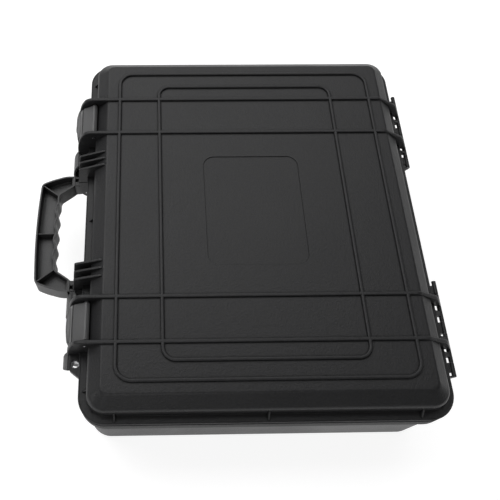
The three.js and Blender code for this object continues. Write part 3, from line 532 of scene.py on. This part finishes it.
def ear(side, low, high):
    # flat lug beside the outer strap, with a round hole for a padlock
    strap = lid["straps"][-1]
    tip, reach = strap + lid["earLength"], frontY(lid["earReach"])
    outline = eased([
        [strap, frontY(-1.2), 0], [strap, reach, 0], [strap + lid["earStraight"], reach, 2.2],
        [tip, frontY(0), 0], [tip, frontY(-1.2), 0],
    ], closed=True, steps=6)
    angle = evenAngles(32)
    hole = np.column_stack([side * lid["holeX"] + lid["holeRadius"] * np.cos(angle),
                            frontY(lid["holeOut"]) + lid["holeRadius"] * np.sin(angle)])
    outline[:, 0] *= side
    return plate(outline, low, high, "z", 0.5, holes=[hole])


hinge = {
    "axisY": 187.6, "axisZ": 90.0, "radius": 2.2, "bore": 1.4, "pin": 1.1, "start": 70.995, "gap": 0.6,
    "lengths": (("base", 14.4), ("lid", 29.4), ("base", 11.4), ("lid", 29.4), ("base", 14.4)),
    "arms": ((0.11, 0.19), (0.64, 0.83), (0.14, 0.27), (0.69, 0.85)),
    "webs": ((0.32, 1.0), (0.0, 1.0), (0.0, 0.64)), "stop": 0.09, "bracketDrop": 26.0,
}


def knuckles(owner):
    # start and end of the knuckles on one shell, laid end to end with gaps
    places, start = [], hinge["start"]
    for who, length in hinge["lengths"]:
        if who == owner:
            places.append((start, start + length))
        start += length + hinge["gap"]
    return places


hingeEnd = knuckles("base")[-1][1]


def knuckleBarrel(side, start, end):
    low, high = spanAt(side, start, end)
    profile = tubeProfile(hinge["radius"], hinge["bore"], low, high, 0.3)
    return turned(profile, pivot(hinge), "x", 48)


def lidHinges():
    # barrels, with arms from them to the rear wall
    y, z, r = hinge["axisY"], hinge["axisZ"], hinge["radius"]
    outline = eased([[rearY(-1.5), case["lidZ"] + 1.2, 0], [y - 0.4, z - r * 0.75, 0], [y + 0.3, z, 0],
                     [y + r * 0.35, z + r * 0.55, 0.4], [rearY(1.2), case["ledgeZ"] - 2.6, 1.5],
                     [rearY(-1.5), case["ledgeZ"] - 1.2, 0]], closed=True)
    shells = []
    for side in (-1, 1):
        for place, (start, end) in enumerate(knuckles("lid")):
            shells.append(knuckleBarrel(side, start, end))
            long = end - start
            for first, last in hinge["arms"][place * 2:place * 2 + 2]:
                shells.append(sidePlate(outline, side, start + first * long, start + last * long, 0.35))
    return shells


def lidShell():
    # body, ribs, straps, webs, hinges, gussets and ears
    shells = [lidBody(), ribLoop(lid["outerLoop"]), ribLoop(lid["innerLoop"])]
    outline = strapOutline()
    for x in lid["straps"]:
        shells.append(plate(outline, x - lid["finHalf"], x + lid["finHalf"], "x", lid["finEdge"], steps=5))
    shells += wallPlates()
    shells += lidHinges()
    slope = [[frontY(-case["panelInset"] + 3), case["panelZ"] - 0.2, 1.5],
             [frontY(lid["gussetReach"] * 0.7), case["panelZ"] - 10.9, 2.0],
             [frontY(lid["gussetReach"]), case["lidZ"] + case["hair"], 1.2]]
    inside = [[frontY(o), z, 0] for o, z in insideLine(case["panelInset"] + 1)]
    gusset = eased(inside + slope, closed=True)
    for side in (-1, 1):
        for x in lid["gussets"]:
            low = side * x - lid["gussetWidth"] / 2
            shells.append(plate(gusset, low, low + lid["gussetWidth"], "x", 0.45))
        shells.append(ear(side, case["lidZ"] + case["hair"], case["lidZ"] + lid["lidEarThickness"]))
    return shells


def dullShadedBand(piece, count, low, high):
    # upright faces between two heights, among the mesh's first faces, get the rims' rougher, less glossy
    # finish and a darker colour that is painted shade
    mesh = piece.data
    mesh.materials.append(rimShadedPlastic)
    centres, facing = np.empty(3 * len(mesh.polygons)), np.empty(3 * len(mesh.polygons))
    mesh.polygons.foreach_get("center", centres)
    mesh.polygons.foreach_get("normal", facing)
    height, slope = centres[2::3] / mm, np.abs(facing[2::3])
    inBand = (height > low) & (height < high) & (slope < 0.4) & (np.arange(len(height)) < count)
    mesh.polygons.foreach_set("material_index", inBand.astype(np.int32))


lidShells = lidShell()
lidPiece = makePiece("lidShell", lidShells, shellPlastic, "lid", ["lid_shell"])
dullShadedBand(lidPiece, len(lidShells[0][1]), case["lidZ"] + 1.5, case["ledgeZ"] - 0.8)
print("stage 2: lid done")

# base

base = {
    "tongue": (2.9, 4.9, 92.3), "finReach": 20.2, "finDrop": 50.0, "cheeks": ((55.5, 58.5), (72.5, 75.5)),
    "cheekReach": 10.9, "cheekDrop": 39.0, "foot": (24.0, 9.0, 8.0), "footSetback": 52.0,
    "valveZ": 52.0, "bossRadius": 11.0, "bossRise": 0.9, "bossBack": -10.1, "stemBore": 4.8,
    "guardTopX": 160.5, "guardLowX": 151.5, "innerGuardX": 77.5, "guardWall": 2.5, "guardDrop": 27.5,
}
valveCentre = (0, 0, base["valveZ"])
bossY = frontY(-case["baseInset"] + base["bossRise"])


def baseBody():
    # section from the bottom up the outside, over the tongue and down the inside
    low, rim, top = case["footZ"], case["baseRimZ"], case["baseZ"]
    bottom, wall = case["bottomInset"], case["wall"]
    first, last, tongueTop = base["tongue"]
    section = eased([
        [bottom + 14, low, 0], [bottom, low, 5.0], [case["baseInset"], rim, 0.7], [0, rim, 1.2],
        [0, top, 0.5], [first, top, 0.25], [first, tongueTop, 0.5], [last, tongueTop, 0.5], [last, top, 0.25],
        [case["rimWidth"], top, 0.5], [case["rimWidth"], rim, 2.0], [bottom + wall, low + wall, 6.7],
        [bottom + wall + 10, low + wall, 0],
    ], steps=8)
    return shellOf(loftRows(insetRows(section)))


def guardShell(curve, fromX, topX, lowX):
    # rounded rectangle carried down the fin's curve, its far end on a straight line from topX to lowX
    wall, height = base["guardWall"], curve[:, 1]
    farX = lowX + (topX - lowX) * (height - height.min()) / np.ptp(height)
    levels = []
    for (y, z), far in zip(curve, farX):
        loop = roundLoop(abs(far - fromX) / 2, wall / 2, 0.7, 4) + [(far + fromX) / 2, y + wall / 2]
        levels.append(atHeight(loop, z))
    return shellOf(np.stack(levels))


def foot(side, end):
    # rounded rectangle that narrows to the floor
    rows = grownRows(base["foot"], ((-1.6, 0.0), (-0.8, 0.25), (-0.3, 1.0), (0, 3.5)))
    x, y = case["halfLength"] - base["footSetback"], case["halfDepth"] - base["footSetback"]
    return shellOf(loftRows(rows, 8) + [side * x, end * y, 0])


def baseShell():
    # body, fins, cheeks, ears, hinge webs, guards, feet and the valve's boss
    upper = case["baseZ"]
    top, rear, inside = upper - case["hair"], rearY(-5.5), frontY(-6.0)
    shells = [baseBody()]
    finShares = [[0.653, 0], [0.84, -0.14], [0.965, -0.3], [1, -0.46], [0.93, -0.62], [0.65, -0.79],
                 [0.22, -0.92], [-0.24, -1]]
    curve = [(frontY(o * base["finReach"]), top + h * base["finDrop"]) for o, h in splineThrough(finShares)]
    fin = np.array([(inside, top)] + curve + [(inside, upper - base["finDrop"])])
    for x in lid["straps"]:
        shells.append(plate(fin, x - lid["finHalf"], x + lid["finHalf"], "x", 0.6, steps=4))
    guardCurve = np.array([point for point in curve if point[1] > upper - base["guardDrop"]])
    nearY, farY, floorZ = frontY(-5.0), guardCurve[-1, 0] + 1, guardCurve[:, 1].min()
    guardFloor = [(nearY, floorZ), (farY, floorZ), (farY, floorZ + 2.5), (nearY, floorZ + 2.5)]
    reach, drop = base["cheekReach"], base["cheekDrop"]
    cheek = eased([
        [inside, top, 0], [frontY(reach), top, 1.2], [frontY(reach * 0.87), handle["axisZ"] - 4, 4.0],
        [frontY(0), upper - drop * 0.87, 1.2], [inside, upper - drop, 0],
    ], closed=True)
    bracket = eased([
        [rear, upper - hinge["bracketDrop"], 0], [rearY(10.7), 87.8, 1.5], [rearY(10.75), 90.0, 1.0],
        [rearY(8.6), 91.4, 1.0], [rearY(1.2), upper + 0.3, 0.6], [rearY(0.6), top, 0], [rear, top, 0],
    ], closed=True)
    innerStrap, outerStrap = lid["straps"][-2:]
    for side in (-1, 1):
        shells += [sidePlate(cheek, side, start, end, 0.4) for start, end in base["cheeks"]]
        shells.append(ear(side, upper - lid["earThickness"], top))
        for (start, end), (first, last) in zip(knuckles("base"), hinge["webs"]):
            long = end - start
            shells.append(knuckleBarrel(side, start, end))
            shells.append(sidePlate(bracket, side, start + first * long, start + last * long, 0.5))
        stopTo = hingeEnd if side > 0 else -hinge["start"]
        shells.append(plate(bracket, stopTo - hinge["lengths"][0][1] * hinge["stop"], stopTo, "x", 0.35))
        for fromX, topX, lowX in ((outerStrap, base["guardTopX"], base["guardLowX"]),
                                  (innerStrap, base["innerGuardX"], base["innerGuardX"])):
            shells.append(guardShell(guardCurve, side * fromX, side * topX, side * lowX))
        shells.append(sidePlate(guardFloor, side, base["innerGuardX"], innerStrap, 0.3))
        shells += [foot(side, end) for end in (-1, 1)]
    boss = tubeProfile(base["bossRadius"], base["stemBore"], bossY, frontY(base["bossBack"]), 0.4)
    shells.append(turned(boss, valveCentre, "y", 48))
    return shells


handle = {
    "axisY": frontY(4.1), "axisZ": 66.0, "pin": 2.0, "top": 76.0, "bottom": 54.8, "wall": 2.0,
    "floorZ": 66.4, "floorRound": 1.0, "deepen": 0.14, "reach": 57.4, "bow": 1.9, "shoulder": 54.7,
    "armOuter": 71.8, "lugWidth": 12.6, "lugRadius": 8.0, "lugReach": 18.7, "innerOut": 33.9, "pitch": 19.0,
    "fingerDepth": 2.4, "innerShoulder": 46.5, "edge": 1.4, "corner": (61.0, 55.2, 5.5),
    "armBow": ((63.9, 49.9), (66.9, 42.7), (69.0, 36.2), (71.0, 29.7), (71.8, 24.4)),
    "pocket": (13.3, 16.8, 8.0), "pocketX": (65.0, 68.8),
}
baseShells = baseShell()
basePiece = makePiece("baseShell", baseShells, shellPlastic, "base", ["base_shell"])
dullShadedBand(basePiece, len(baseShells[0][1]), case["baseRimZ"] + 0.8, case["baseZ"] - 1.0)
print("stage 3: base done")

# handle

def handlePlan():
    # C-shaped outline of the grip and arms, as along and out from the flange
    reach, bow, shoulder = handle["reach"], handle["bow"], handle["shoulder"]
    share = np.linspace(0, 0.9, 8)
    outer = [[s * shoulder, reach - bow * s * s, 0] for s in share]
    outer += [list(handle["corner"])] + [[x, out, 0] for x, out in splineThrough(handle["armBow"], 5)]
    outer += [[handle["armOuter"], handle["lugReach"] - back, 0] for back in (0, 1.8)]
    along = np.linspace(0, 2 * handle["pitch"], 33)
    wave = (1 - np.cos(2 * math.pi * along / handle["pitch"])) / 2
    lugInner = handle["armOuter"] - handle["lugWidth"]
    inner = [[x, handle["innerOut"] + handle["fingerDepth"] * w, 0] for x, w in zip(along, wave)]
    inner += [[handle["innerShoulder"], handle["innerOut"], 3.0],
              [lugInner - 2.2, handle["lugReach"] + 0.5, 2.5], [lugInner, handle["lugReach"] - 1.8, 0]]
    outerHalf, innerHalf = eased(outer), eased(inner)

    def whole(half):
        mirror = half[1:][::-1] * [-1, 1]
        return np.vstack([mirror, half])

    loop = np.vstack([whole(outerHalf), whole(innerHalf)[::-1]])
    loop[:, 1] = frontY(loop[:, 1])
    return loop


def channelShell():
    # the plan, drawn in and out to a wall and down to a floor, deeper from the lugs out to the grip
    plan = leftTurning(handlePlan())
    top, bottom, wall, edge = handle["top"], handle["bottom"], handle["wall"], handle["edge"]
    inward, up = quarterRound(edge, 6)
    levels = list(zip(inward, bottom + up))
    levels += [(0, top - 0.4), (0.12, top - 0.12), (0.4, top)]
    levels += [(wall - 0.4, top), (wall - 0.12, top - 0.12), (wall, top - 0.4)]
    inward, up = quarterRound(handle["floorRound"], 6)
    levels += list(zip(wall + up, handle["floorZ"] + inward))
    lugReach = handle["lugReach"]
    outward = (frontY(lugReach) - plan[:, 1]) / (handle["reach"] - lugReach)
    deeper = 1 + handle["deepen"] * np.clip(outward, 0, 1)
    grid = np.stack([placed(offsetLoop(plan, d), top - (top - z) * deeper, "z") for d, z in levels])
    index = np.arange(len(plan))
    ends = bothEnds(flatFaces([plan]), index, index + (len(levels) - 1) * len(plan))
    return facedOut(grid.reshape(-1, 3), gridQuads(len(levels), len(plan), False), ends)


def handleShells():
    # channel, lugs with their pockets, and thin webs across the channel
    shells = [channelShell()]
    top, bottom, webLow = handle["top"], handle["bottom"], handle["floorZ"] - 4
    y, z, r = handle["axisY"], handle["axisZ"], handle["lugRadius"]
    arc = [(y + r * math.cos(t), z + r * math.sin(t)) for t in np.linspace(-math.pi / 2, math.pi / 2, 25)]
    lugEnd = frontY(handle["lugReach"] + 1.5)
    under = [(lugEnd, top - 0.6), (lugEnd, bottom + 0.8), (frontY(handle["lugReach"] - 1), bottom + 0.4)]
    lug = arc + [(frontY(handle["lugReach"] - 2), top - 0.6)] + under
    first, last, deep = handle["pocket"]
    core = arc + [(frontY(first), top - 0.6), (frontY(first), top - deep),
                  (frontY(last), top - deep), (frontY(last), top - 0.6)] + under
    inner, outer = handle["armOuter"] - handle["lugWidth"], handle["armOuter"]
    startX, endX = handle["pocketX"]
    for side in (-1, 1):
        shells.append(sidePlate(lug, side, inner, startX, 0.6))
        shells.append(sidePlate(core, side, startX - 1, endX + 1, 0.3))
        shells.append(sidePlate(lug, side, endX, outer, 0.6))
        corner = np.array([[handle["innerShoulder"] - 1, frontY(handle["innerOut"] + 0.3)],
                           [handle["corner"][0] - 1.4, frontY(handle["corner"][1] - 2.6)]])
        along = (corner[1] - corner[0]) / np.linalg.norm(corner[1] - corner[0])
        normal = np.array([-along[1], along[0]]) * 0.7
        web = np.array([corner[0] - normal, corner[0] + normal, corner[1] + normal, corner[1] - normal])
        web[:, 0] *= side
        shells.append(plate(web, webLow, top - 0.8, "z", 0.35))
    far, near = frontY(handle["reach"] - 1), frontY(handle["innerOut"] + 1)
    shells.append(plate([(1.8, far), (3.0, far), (3.0, near), (1.8, near)], webLow, top - 1.4, "z", 0.35))
    return shells


makePiece("carryHandle", handleShells(), handlePlastic, "handle", ["handle"])

# latches

latch = {
    "axisY": frontY(-7.0), "axisZ": 117.0, "radius": 3.8, "pin": 2.0, "inner": 101.2, "outer": 139.4,
    "reach": 11.3, "lip": 6.9, "drop": 38.4, "rise": 25.0, "skin": 3.2, "rib": 2.2, "bandOut": 1.3,
    "bandRoot": 3.0, "bandEdge": 0.8, "crown": 1.5, "crownSpan": 1.5, "bandInset": 1.6, "bandTop": 20.5,
    "hookDepth": 3.3, "hookGap": 0.8, "hookHeight": 3.0,
}


def latchOutline(hollow):
    # side view of the latch, as a skin when hollow, else filled for its ribs
    y, z, r = latch["axisY"], latch["axisZ"], latch["radius"]
    reach, lip, rise, top = latch["reach"], latch["lip"], latch["rise"], case["baseZ"]
    rim, low = case["baseRimZ"], top - latch["drop"]
    skirt, skin, grip = rim - latch["hookHeight"], reach - latch["skin"], rim - latch["hookGap"]
    front = [
        [reach * 0.5, top + rise + 0.9, 0.3], [reach * 0.5, top + rise - 0.6, 0.2],
        [reach * 0.62, top + rise - 1.2, 0.2], [reach * 0.64, top + rise * 0.99, 0.4],
        [reach * 0.9, top + rise * 0.78, 2.0], [reach, top + rise * 0.45, 3.0], [reach, skirt, 3.0],
        [reach + lip * 0.45, top - latch["drop"] * 0.88, 2.0], [reach + lip, low + 0.5, 0.4],
        [reach + lip * 0.64, low, 0.8], [reach - 0.5, low + 3.0, 2.0], [skin, skirt - 3.0, 1.6],
        [-latch["hookDepth"] + 0.5, skirt, 0.5], [-latch["hookDepth"], grip, 0.4], [-0.5, grip, 0.4],
        [0.5, rim, 0.4],
    ]
    inside = [[0.5, case["ledgeZ"] + 1.2, 1.0]]
    if hollow:
        inside = [[0.5, rim + 1.2, 0.3], [skin, rim + 1.2, 1.0], [skin, case["ledgeZ"] + 1.2, 2.0]]
    front += inside + [[latch["skin"], z - r * 2, 2.0]]
    wall = [[frontY(out), height, ease] for out, height, ease in front]
    barrel = [[y - 0.75 * r, z - 0.62 * r, 0.8], [y, z - 0.9 * r, 1.0], [y + 0.78 * r, z - 0.4 * r, 1.0],
              [y + 0.86 * r, z + 0.36 * r, 0.5]]
    return eased([[y + 0.1 * r, z + 0.97 * r, 0.3]] + wall + barrel, closed=True)


def latchBand(side):
    # band on the skirt: its front stands out by the crown times one minus the square of the place across
    reach, skirt = latch["reach"], case["baseRimZ"] - latch["hookHeight"]
    front, top = reach + latch["bandOut"], case["baseZ"] + latch["bandTop"]
    bend = top * 0.55 + 0.45 * (case["baseZ"] + latch["bandTop"] * 0.78)
    root = reach - latch["bandRoot"]
    section = [[root, top, 0], [front, bend, 1.6], [front, skirt + 3.0, 2.0], [root, skirt, 0]]
    section = leftTurning(eased(section, closed=True, steps=6))
    middle = side * (latch["inner"] + latch["outer"]) / 2
    half = (latch["outer"] - latch["inner"]) / 2 - latch["bandInset"]
    edge, spans = latch["bandEdge"], 16
    inward, up = quarterRound(edge, 4)
    flat = np.linspace(-half + edge, half - edge, spans + 1)[1:-1]
    across = np.concatenate([-half + up, flat, (half - up)[::-1]])
    drawIn = np.concatenate([inward, np.zeros(spans - 1), inward[::-1]])
    levels = []
    for x, d in zip(across, drawIn):
        loop = offsetLoop(section, d)
        weight = np.clip((loop[:, 0] - reach) / latch["crownSpan"] + 1, 0, 1)
        out = loop[:, 0] + weight * latch["crown"] * (1 - (x / half) ** 2)
        levels.append(np.column_stack([np.full(len(loop), middle + x), frontY(out), loop[:, 1]]))
    return shellOf(np.stack(levels))


for sideName, side in (("left", -1), ("right", 1)):
    low, high = spanAt(side, latch["inner"], latch["outer"])
    shells = [plate(latchOutline(True), low, high, "x", 0.45, steps=4)]
    ribOutline = offsetLoop(leftTurning(latchOutline(False)), 0.15)
    for start in np.linspace(low + 0.6, high - 0.6 - latch["rib"], 4):
        shells.append(plate(ribOutline, start, start + latch["rib"], "x", 0.3))
    barrel = tubeProfile(latch["radius"] * 0.85, latch["pin"] + 0.3, low, high, 0.4)
    shells.append(turned(barrel, pivot(latch), "x", 40))
    shells.append(latchBand(side))
    body = f"latch_{sideName}"
    makePiece(f"{sideName}Latch", shells, latchPlastic, body, [body])
print("stage 4: handle and latches done")

# pins and eyelets

pins = {
    "latch": (95.4, 145.2), "handle": (55.5, 75.5), "hinge": (71.3, hingeEnd - 0.3), "edge": 0.5, "dome": 0.5,
}
eyelet = {"bore": 3.2, "radius": 3.7, "flange": 4.0, "thickness": 0.6, "gap": 0.3, "sunk": 1.3}


def pinShell(span, side, centre, radius):
    # rod along X
    low, high = spanAt(side, *span)
    return turned(rodProfile(radius, low, high, pins["edge"], pins["dome"]), centre, "x", 28, ringed=False)


def eyeletShell(side, plainEnd, flangeEnd):
    # tube with a rolled flange at one end
    bore, radius, flange = eyelet["bore"], eyelet["radius"], eyelet["flange"]
    under = flangeEnd - math.copysign(eyelet["thickness"], flangeEnd - plainEnd)
    profile = [[bore, plainEnd, 0.1], [radius, plainEnd, 0.1], [radius, under, 0.1], [flange, under, 0.3],
               [flange, flangeEnd, 0.35], [bore, flangeEnd, 0.5]]
    centre = (side * lid["holeX"], frontY(lid["holeOut"]), 0)
    return turned(eased(profile, closed=True, steps=4), centre, "z", 40)


for sideName, side in (("left", -1), ("right", 1)):
    for kind, held, body in (("latch", latch, "lid"), ("handle", handle, "base"), ("hinge", hinge, "base")):
        shell = pinShell(pins[kind], side, pivot(held), held["pin"])
        name, node = f"{sideName}{kind.title()}Pin", f"{kind}_pin_{sideName}"
        makePiece(name, [shell], brightSteel, body, [node])
    lidEnd = case["lidZ"] + lid["lidEarThickness"] - eyelet["sunk"]
    baseEnd = case["baseZ"] - lid["earThickness"] - eyelet["gap"] - eyelet["thickness"]
    for owner, plainEnd, flangeEnd in (("lid", case["lidZ"], lidEnd), ("base", case["baseZ"], baseEnd)):
        name, node = f"{sideName}{owner.title()}Eyelet", f"{owner}_eyelet_{sideName}"
        makePiece(name, [eyeletShell(side, plainEnd, flangeEnd)], brightSteel, owner, [node])

# seal and valve

gasket = {"across": (2.4, 5.4), "height": (92.6, 94.1)}
(outer, inner), (low, top) = gasket["across"], gasket["height"]
gasketSection = [[outer, top, 0.4], [inner, top, 0.4], [inner, low, 0.7], [outer, low, 0.7]]
gasketShell = shellOf(loftRows(insetRows(eased(gasketSection, closed=True, steps=4))), ringed=True)
makePiece("lidGasket", [gasketShell], sealRubber, "lid", ["lid_gasket"])

valve = {
    "radius": 8.5, "head": 3.0, "standOff": 2.0, "stem": 4.5, "slots": 6, "slotRadius": 1.5,
    "slotSpread": 1.3, "sealRadius": 6.4, "section": 0.7, "nutRadius": 8.0, "nut": 4.0, "play": 0.3,
}
nutStart = frontY(base["bossBack"]) + valve["play"]
nutEnd = nutStart + valve["nut"]


def valveShells():
    # round head whose rim is scalloped: the radius dips by a bell at each slot; stem behind it
    back = bossY - valve["standOff"]
    front = back - valve["head"]
    angle = evenAngles(144)
    away = (angle * valve["slots"] / (2 * math.pi) + 0.5) % 1 - 0.5
    alongRim = away * 2 * math.pi / valve["slots"] * valve["radius"]
    dip = valve["slotRadius"] * np.exp(-(alongRim / valve["slotSpread"]) ** 2)
    rows = [(0.05, front), (0.5, front), (0.86, front), (0.96, front + 0.3), (1.0, front + 0.9),
            (1.0, back - 0.3), (0.97, back), (0.5, back)]
    levels = []
    for share, y in rows:
        r = valve["radius"] * share - dip * (share > 0.8)
        levels.append(np.column_stack([r * np.cos(angle), np.full(len(angle), y), r * np.sin(angle)]))
    head = shellOf(np.stack(levels) + valveCentre)
    stemProfile = rodProfile(valve["stem"], back - 1.0, nutEnd + 0.3, 0.5)
    return [head, turned(stemProfile, valveCentre, "y", 40, ringed=False)]


makePiece("pressureValve", valveShells(), shellPlastic, "base", ["pressure_valve"])
sectionTurn = evenAngles(16)
sealY = bossY - valve["play"] - valve["section"]
sealProfile = np.column_stack([valve["sealRadius"] + valve["section"] * np.cos(sectionTurn),
                               sealY + valve["section"] * np.sin(sectionTurn)])
makePiece("valveSeal", [turned(sealProfile, valveCentre, "y", 48)], sealRubber, "base",
          ["pressure_valve_seal"])
nutProfile = tubeProfile(valve["nutRadius"], valve["stem"] + valve["play"], nutStart, nutEnd, 0.5)
makePiece("valveNut", [turned(nutProfile, valveCentre, "y", 6)], shellPlastic, "base",
          ["pressure_valve_nut"], sharp=20)
print("stage 5: pins, eyelets, seal and valve done")

# foam

foam = {
    "inset": 9.7, "padLow": 6.1, "padTop": 18.1, "blockLow": 18.4, "blockTop": 86.0,
    "pocket": (165.0, 130.0, 16.0), "lidLow": 90.0, "eggPitch": 26.0, "eggDepth": 5.0,
    "eggInset": 12.5, "eggFade": 10.0,
}


def foamBlock():
    # outer section joined to the pocket's, both as rounded rectangles
    low, top, inset = foam["blockLow"], foam["blockTop"], foam["inset"]
    outer = eased([[inset + 4, low, 0], [inset, low, 1.0], [inset, top, 2.0], [inset + 4, top, 0]], steps=6)
    inner = eased([[6, top, 0], [0, top, 2.0], [0, low, 0.5], [6, low, 0]], steps=6)
    return shellOf(loftRows(insetRows(outer) + grownRows(foam["pocket"], inner)), ringed=True)


def foamPad():
    # slab with a rounded lower edge
    low, top, inset = foam["padLow"], foam["padTop"], foam["inset"]
    section = [[inset + 12, low, 0], [inset, low, 6.7], [inset, top, 1.2], [inset + 12, top, 0]]
    return shellOf(loftRows(insetRows(eased(section, steps=6))))


def lidFoam():
    # block above the egg crate, whose sides follow the lid's inside
    low, top = foam["lidLow"] + foam["eggDepth"], case["panelZ"] - 3.8
    section = [[16.0, low, 0], [12.0, low, 0.6], [13.4, 110.8, 1.5], [24.5, top, 2.0], [30.0, top, 0]]
    return shellOf(loftRows(insetRows(eased(section))))


blockPiece = makePiece("baseFoamBlock", [foamBlock()], liningFoam, "base", ["base_foam_block"])
padPiece = makePiece("baseFoamPad", [foamPad()], liningFoam, "base", ["base_foam_pad"])


def eggCrate():
    # grid under the lid's foam: height = middle - depth * cos * cos, faded to the edge, closed by a flat back
    halfX, halfY = case["halfLength"] - foam["eggInset"], case["halfDepth"] - foam["eggInset"]
    countX, countY = 170, 142
    x, y = np.linspace(-halfX, halfX, countX), np.linspace(-halfY, halfY, countY)
    gx, gy = np.meshgrid(x, y, indexing="ij")
    wave = np.cos(2 * math.pi * gx / foam["eggPitch"]) * np.cos(2 * math.pi * gy / foam["eggPitch"])
    toEdge = np.minimum(halfX - np.abs(gx), halfY - np.abs(gy))
    fade = np.clip(toEdge / foam["eggFade"], 0, 1) ** 0.5
    z = foam["lidLow"] + foam["eggDepth"] - foam["eggDepth"] * wave * fade
    backZ = foam["lidLow"] + 2 * foam["eggDepth"] + 2
    lowFace = np.stack([gx, gy, z], -1).reshape(-1, 3)
    highFace = np.stack([gx, gy, np.full_like(z, backZ)], -1).reshape(-1, 3)
    i, j = np.meshgrid(np.arange(countX - 1), np.arange(countY - 1), indexing="ij")
    a = (i * countY + j).ravel()
    quads = np.stack([a, a + countY, a + countY + 1, a + 1], -1)
    size = countX * countY
    rim = np.concatenate([
        np.arange(countX) * countY, (countX - 1) * countY + np.arange(1, countY),
        np.arange(countX - 2, -1, -1) * countY + countY - 1, np.arange(countY - 2, 0, -1),
    ])
    nextRim = np.roll(rim, -1)
    sides = np.stack([rim, nextRim, nextRim + size, rim + size], -1)
    quads = np.concatenate([quads[:, ::-1], quads + size, sides])
    return facedOut(np.concatenate([lowFace, highFace]), quads, [])


lidFoamShells = [lidFoam(), eggCrate()]
lidFoamPiece = makePiece("lidFoam", lidFoamShells, liningFoam, "lid", ["lid_foam"], sharp=70)
print("stage 6: foam done")

# stage, camera and light

stage = {"glowShare": 0.82, "shadeShare": 0.36, "worldLight": 0.2}


def floorMaterial():
    # seen or mirrored, much of its white is emission below strength one, so the shadow stays but turns pale
    material, tree, plain = newMaterial("paleFloor")
    setInputs(plain, {"Base Color": (0.93, 0.93, 0.93, 1), "Roughness": 0.9, "Specular IOR Level": 0.1})
    shaded = tree.nodes.new("ShaderNodeBsdfDiffuse")
    setInputs(shaded, {"Color": (*[stage["shadeShare"]] * 3, 1)})
    glow = tree.nodes.new("ShaderNodeEmission")
    glow.inputs["Strength"].default_value = stage["glowShare"]
    seen = tree.nodes.new("ShaderNodeAddShader")
    tree.links.new(glow.outputs["Emission"], seen.inputs[0])
    tree.links.new(shaded.outputs["BSDF"], seen.inputs[1])
    ray = tree.nodes.new("ShaderNodeLightPath").outputs
    direct = combined(tree, "MAXIMUM", ray["Is Camera Ray"], ray["Is Glossy Ray"])
    direct = combined(tree, "MAXIMUM", direct, ray["Is Transmission Ray"])
    choice = tree.nodes.new("ShaderNodeMixShader")
    for slot, source in enumerate((direct, plain.outputs["BSDF"], seen.outputs["Shader"])):
        tree.links.new(source, choice.inputs[slot])
    tree.links.new(choice.outputs["Shader"], tree.nodes["Material Output"].inputs["Surface"])
    return material


floorMesh = bpy.data.meshes.new("floor")
floorMesh.from_pydata([(-6, -6, 0), (6, -6, 0), (6, 6, 0), (-6, 6, 0)], [], [(0, 1, 2, 3)])
floorMesh.materials.append(floorMaterial())
floor = newObject("floor", floorMesh)

world = bpy.data.worlds.new("studio")
bpy.context.scene.world = world
world.use_nodes = True
setInputs(world.node_tree.nodes["Background"], {"Color": (1, 1, 1, 1), "Strength": stage["worldLight"]})


def matrixOf(right, up, back, place):
    # columns are the three axes and the place
    return Matrix([[right[k], up[k], back[k], place[k]] for k in range(3)] + [[0, 0, 0, 1]])


def softLamp(name, place, target, size, watts):
    # square lamp that faces its target
    light = bpy.data.lights.new(name, "AREA")
    light.shape = "SQUARE"
    light.size = size
    light.energy = watts
    away = np.array(place, float) - target
    away /= np.linalg.norm(away)
    side = np.cross((0, 0, 1), away)
    side /= np.linalg.norm(side)
    up = np.cross(away, side)
    newObject(name, light).matrix_world = matrixOf(side, up, away, place)


softLamp("farLamp", (-2.5, -0.6, 2.4), (-2.5, -0.6001, 0), 4.2, 102)
softLamp("leftLamp", (-1.2, -1.6, 2.3), (-1.2, -1.6001, 0), 1.8, 26)
softLamp("edgeLamp", (1.0, -2.7, 0.35), (0, 0, 0.05), 0.6, 9)
softLamp("frontLamp", (1.9, -0.6, 2.0), (0.1, -0.05, 0.05), 1.2, 15)

view = {
    "position": (0.31808, -0.08146, 0.68456), "lens": 44.366, "shiftX": 0.1693, "shiftY": 0.0004,
    "right": (0.0164147, 0.9997980, 0.0115966), "down": (0.9006233, -0.0097468, -0.4344914),
    "ahead": (-0.4342906, 0.0175762, -0.9006013),
}
cameraData = bpy.data.cameras.new("camera")
camera = newObject("camera", cameraData)
cameraData.sensor_width = 36
cameraData.lens = view["lens"]
cameraData.shift_x = view["shiftX"]
cameraData.shift_y = view["shiftY"]
right, up, back = np.array(view["right"]), -np.array(view["down"]), -np.array(view["ahead"])
camera.matrix_world = matrixOf(right, up, back, view["position"])
bpy.context.scene.camera = camera
bpy.context.scene.view_settings.view_transform = "Standard"

print("stage 7: stage, camera and light done")
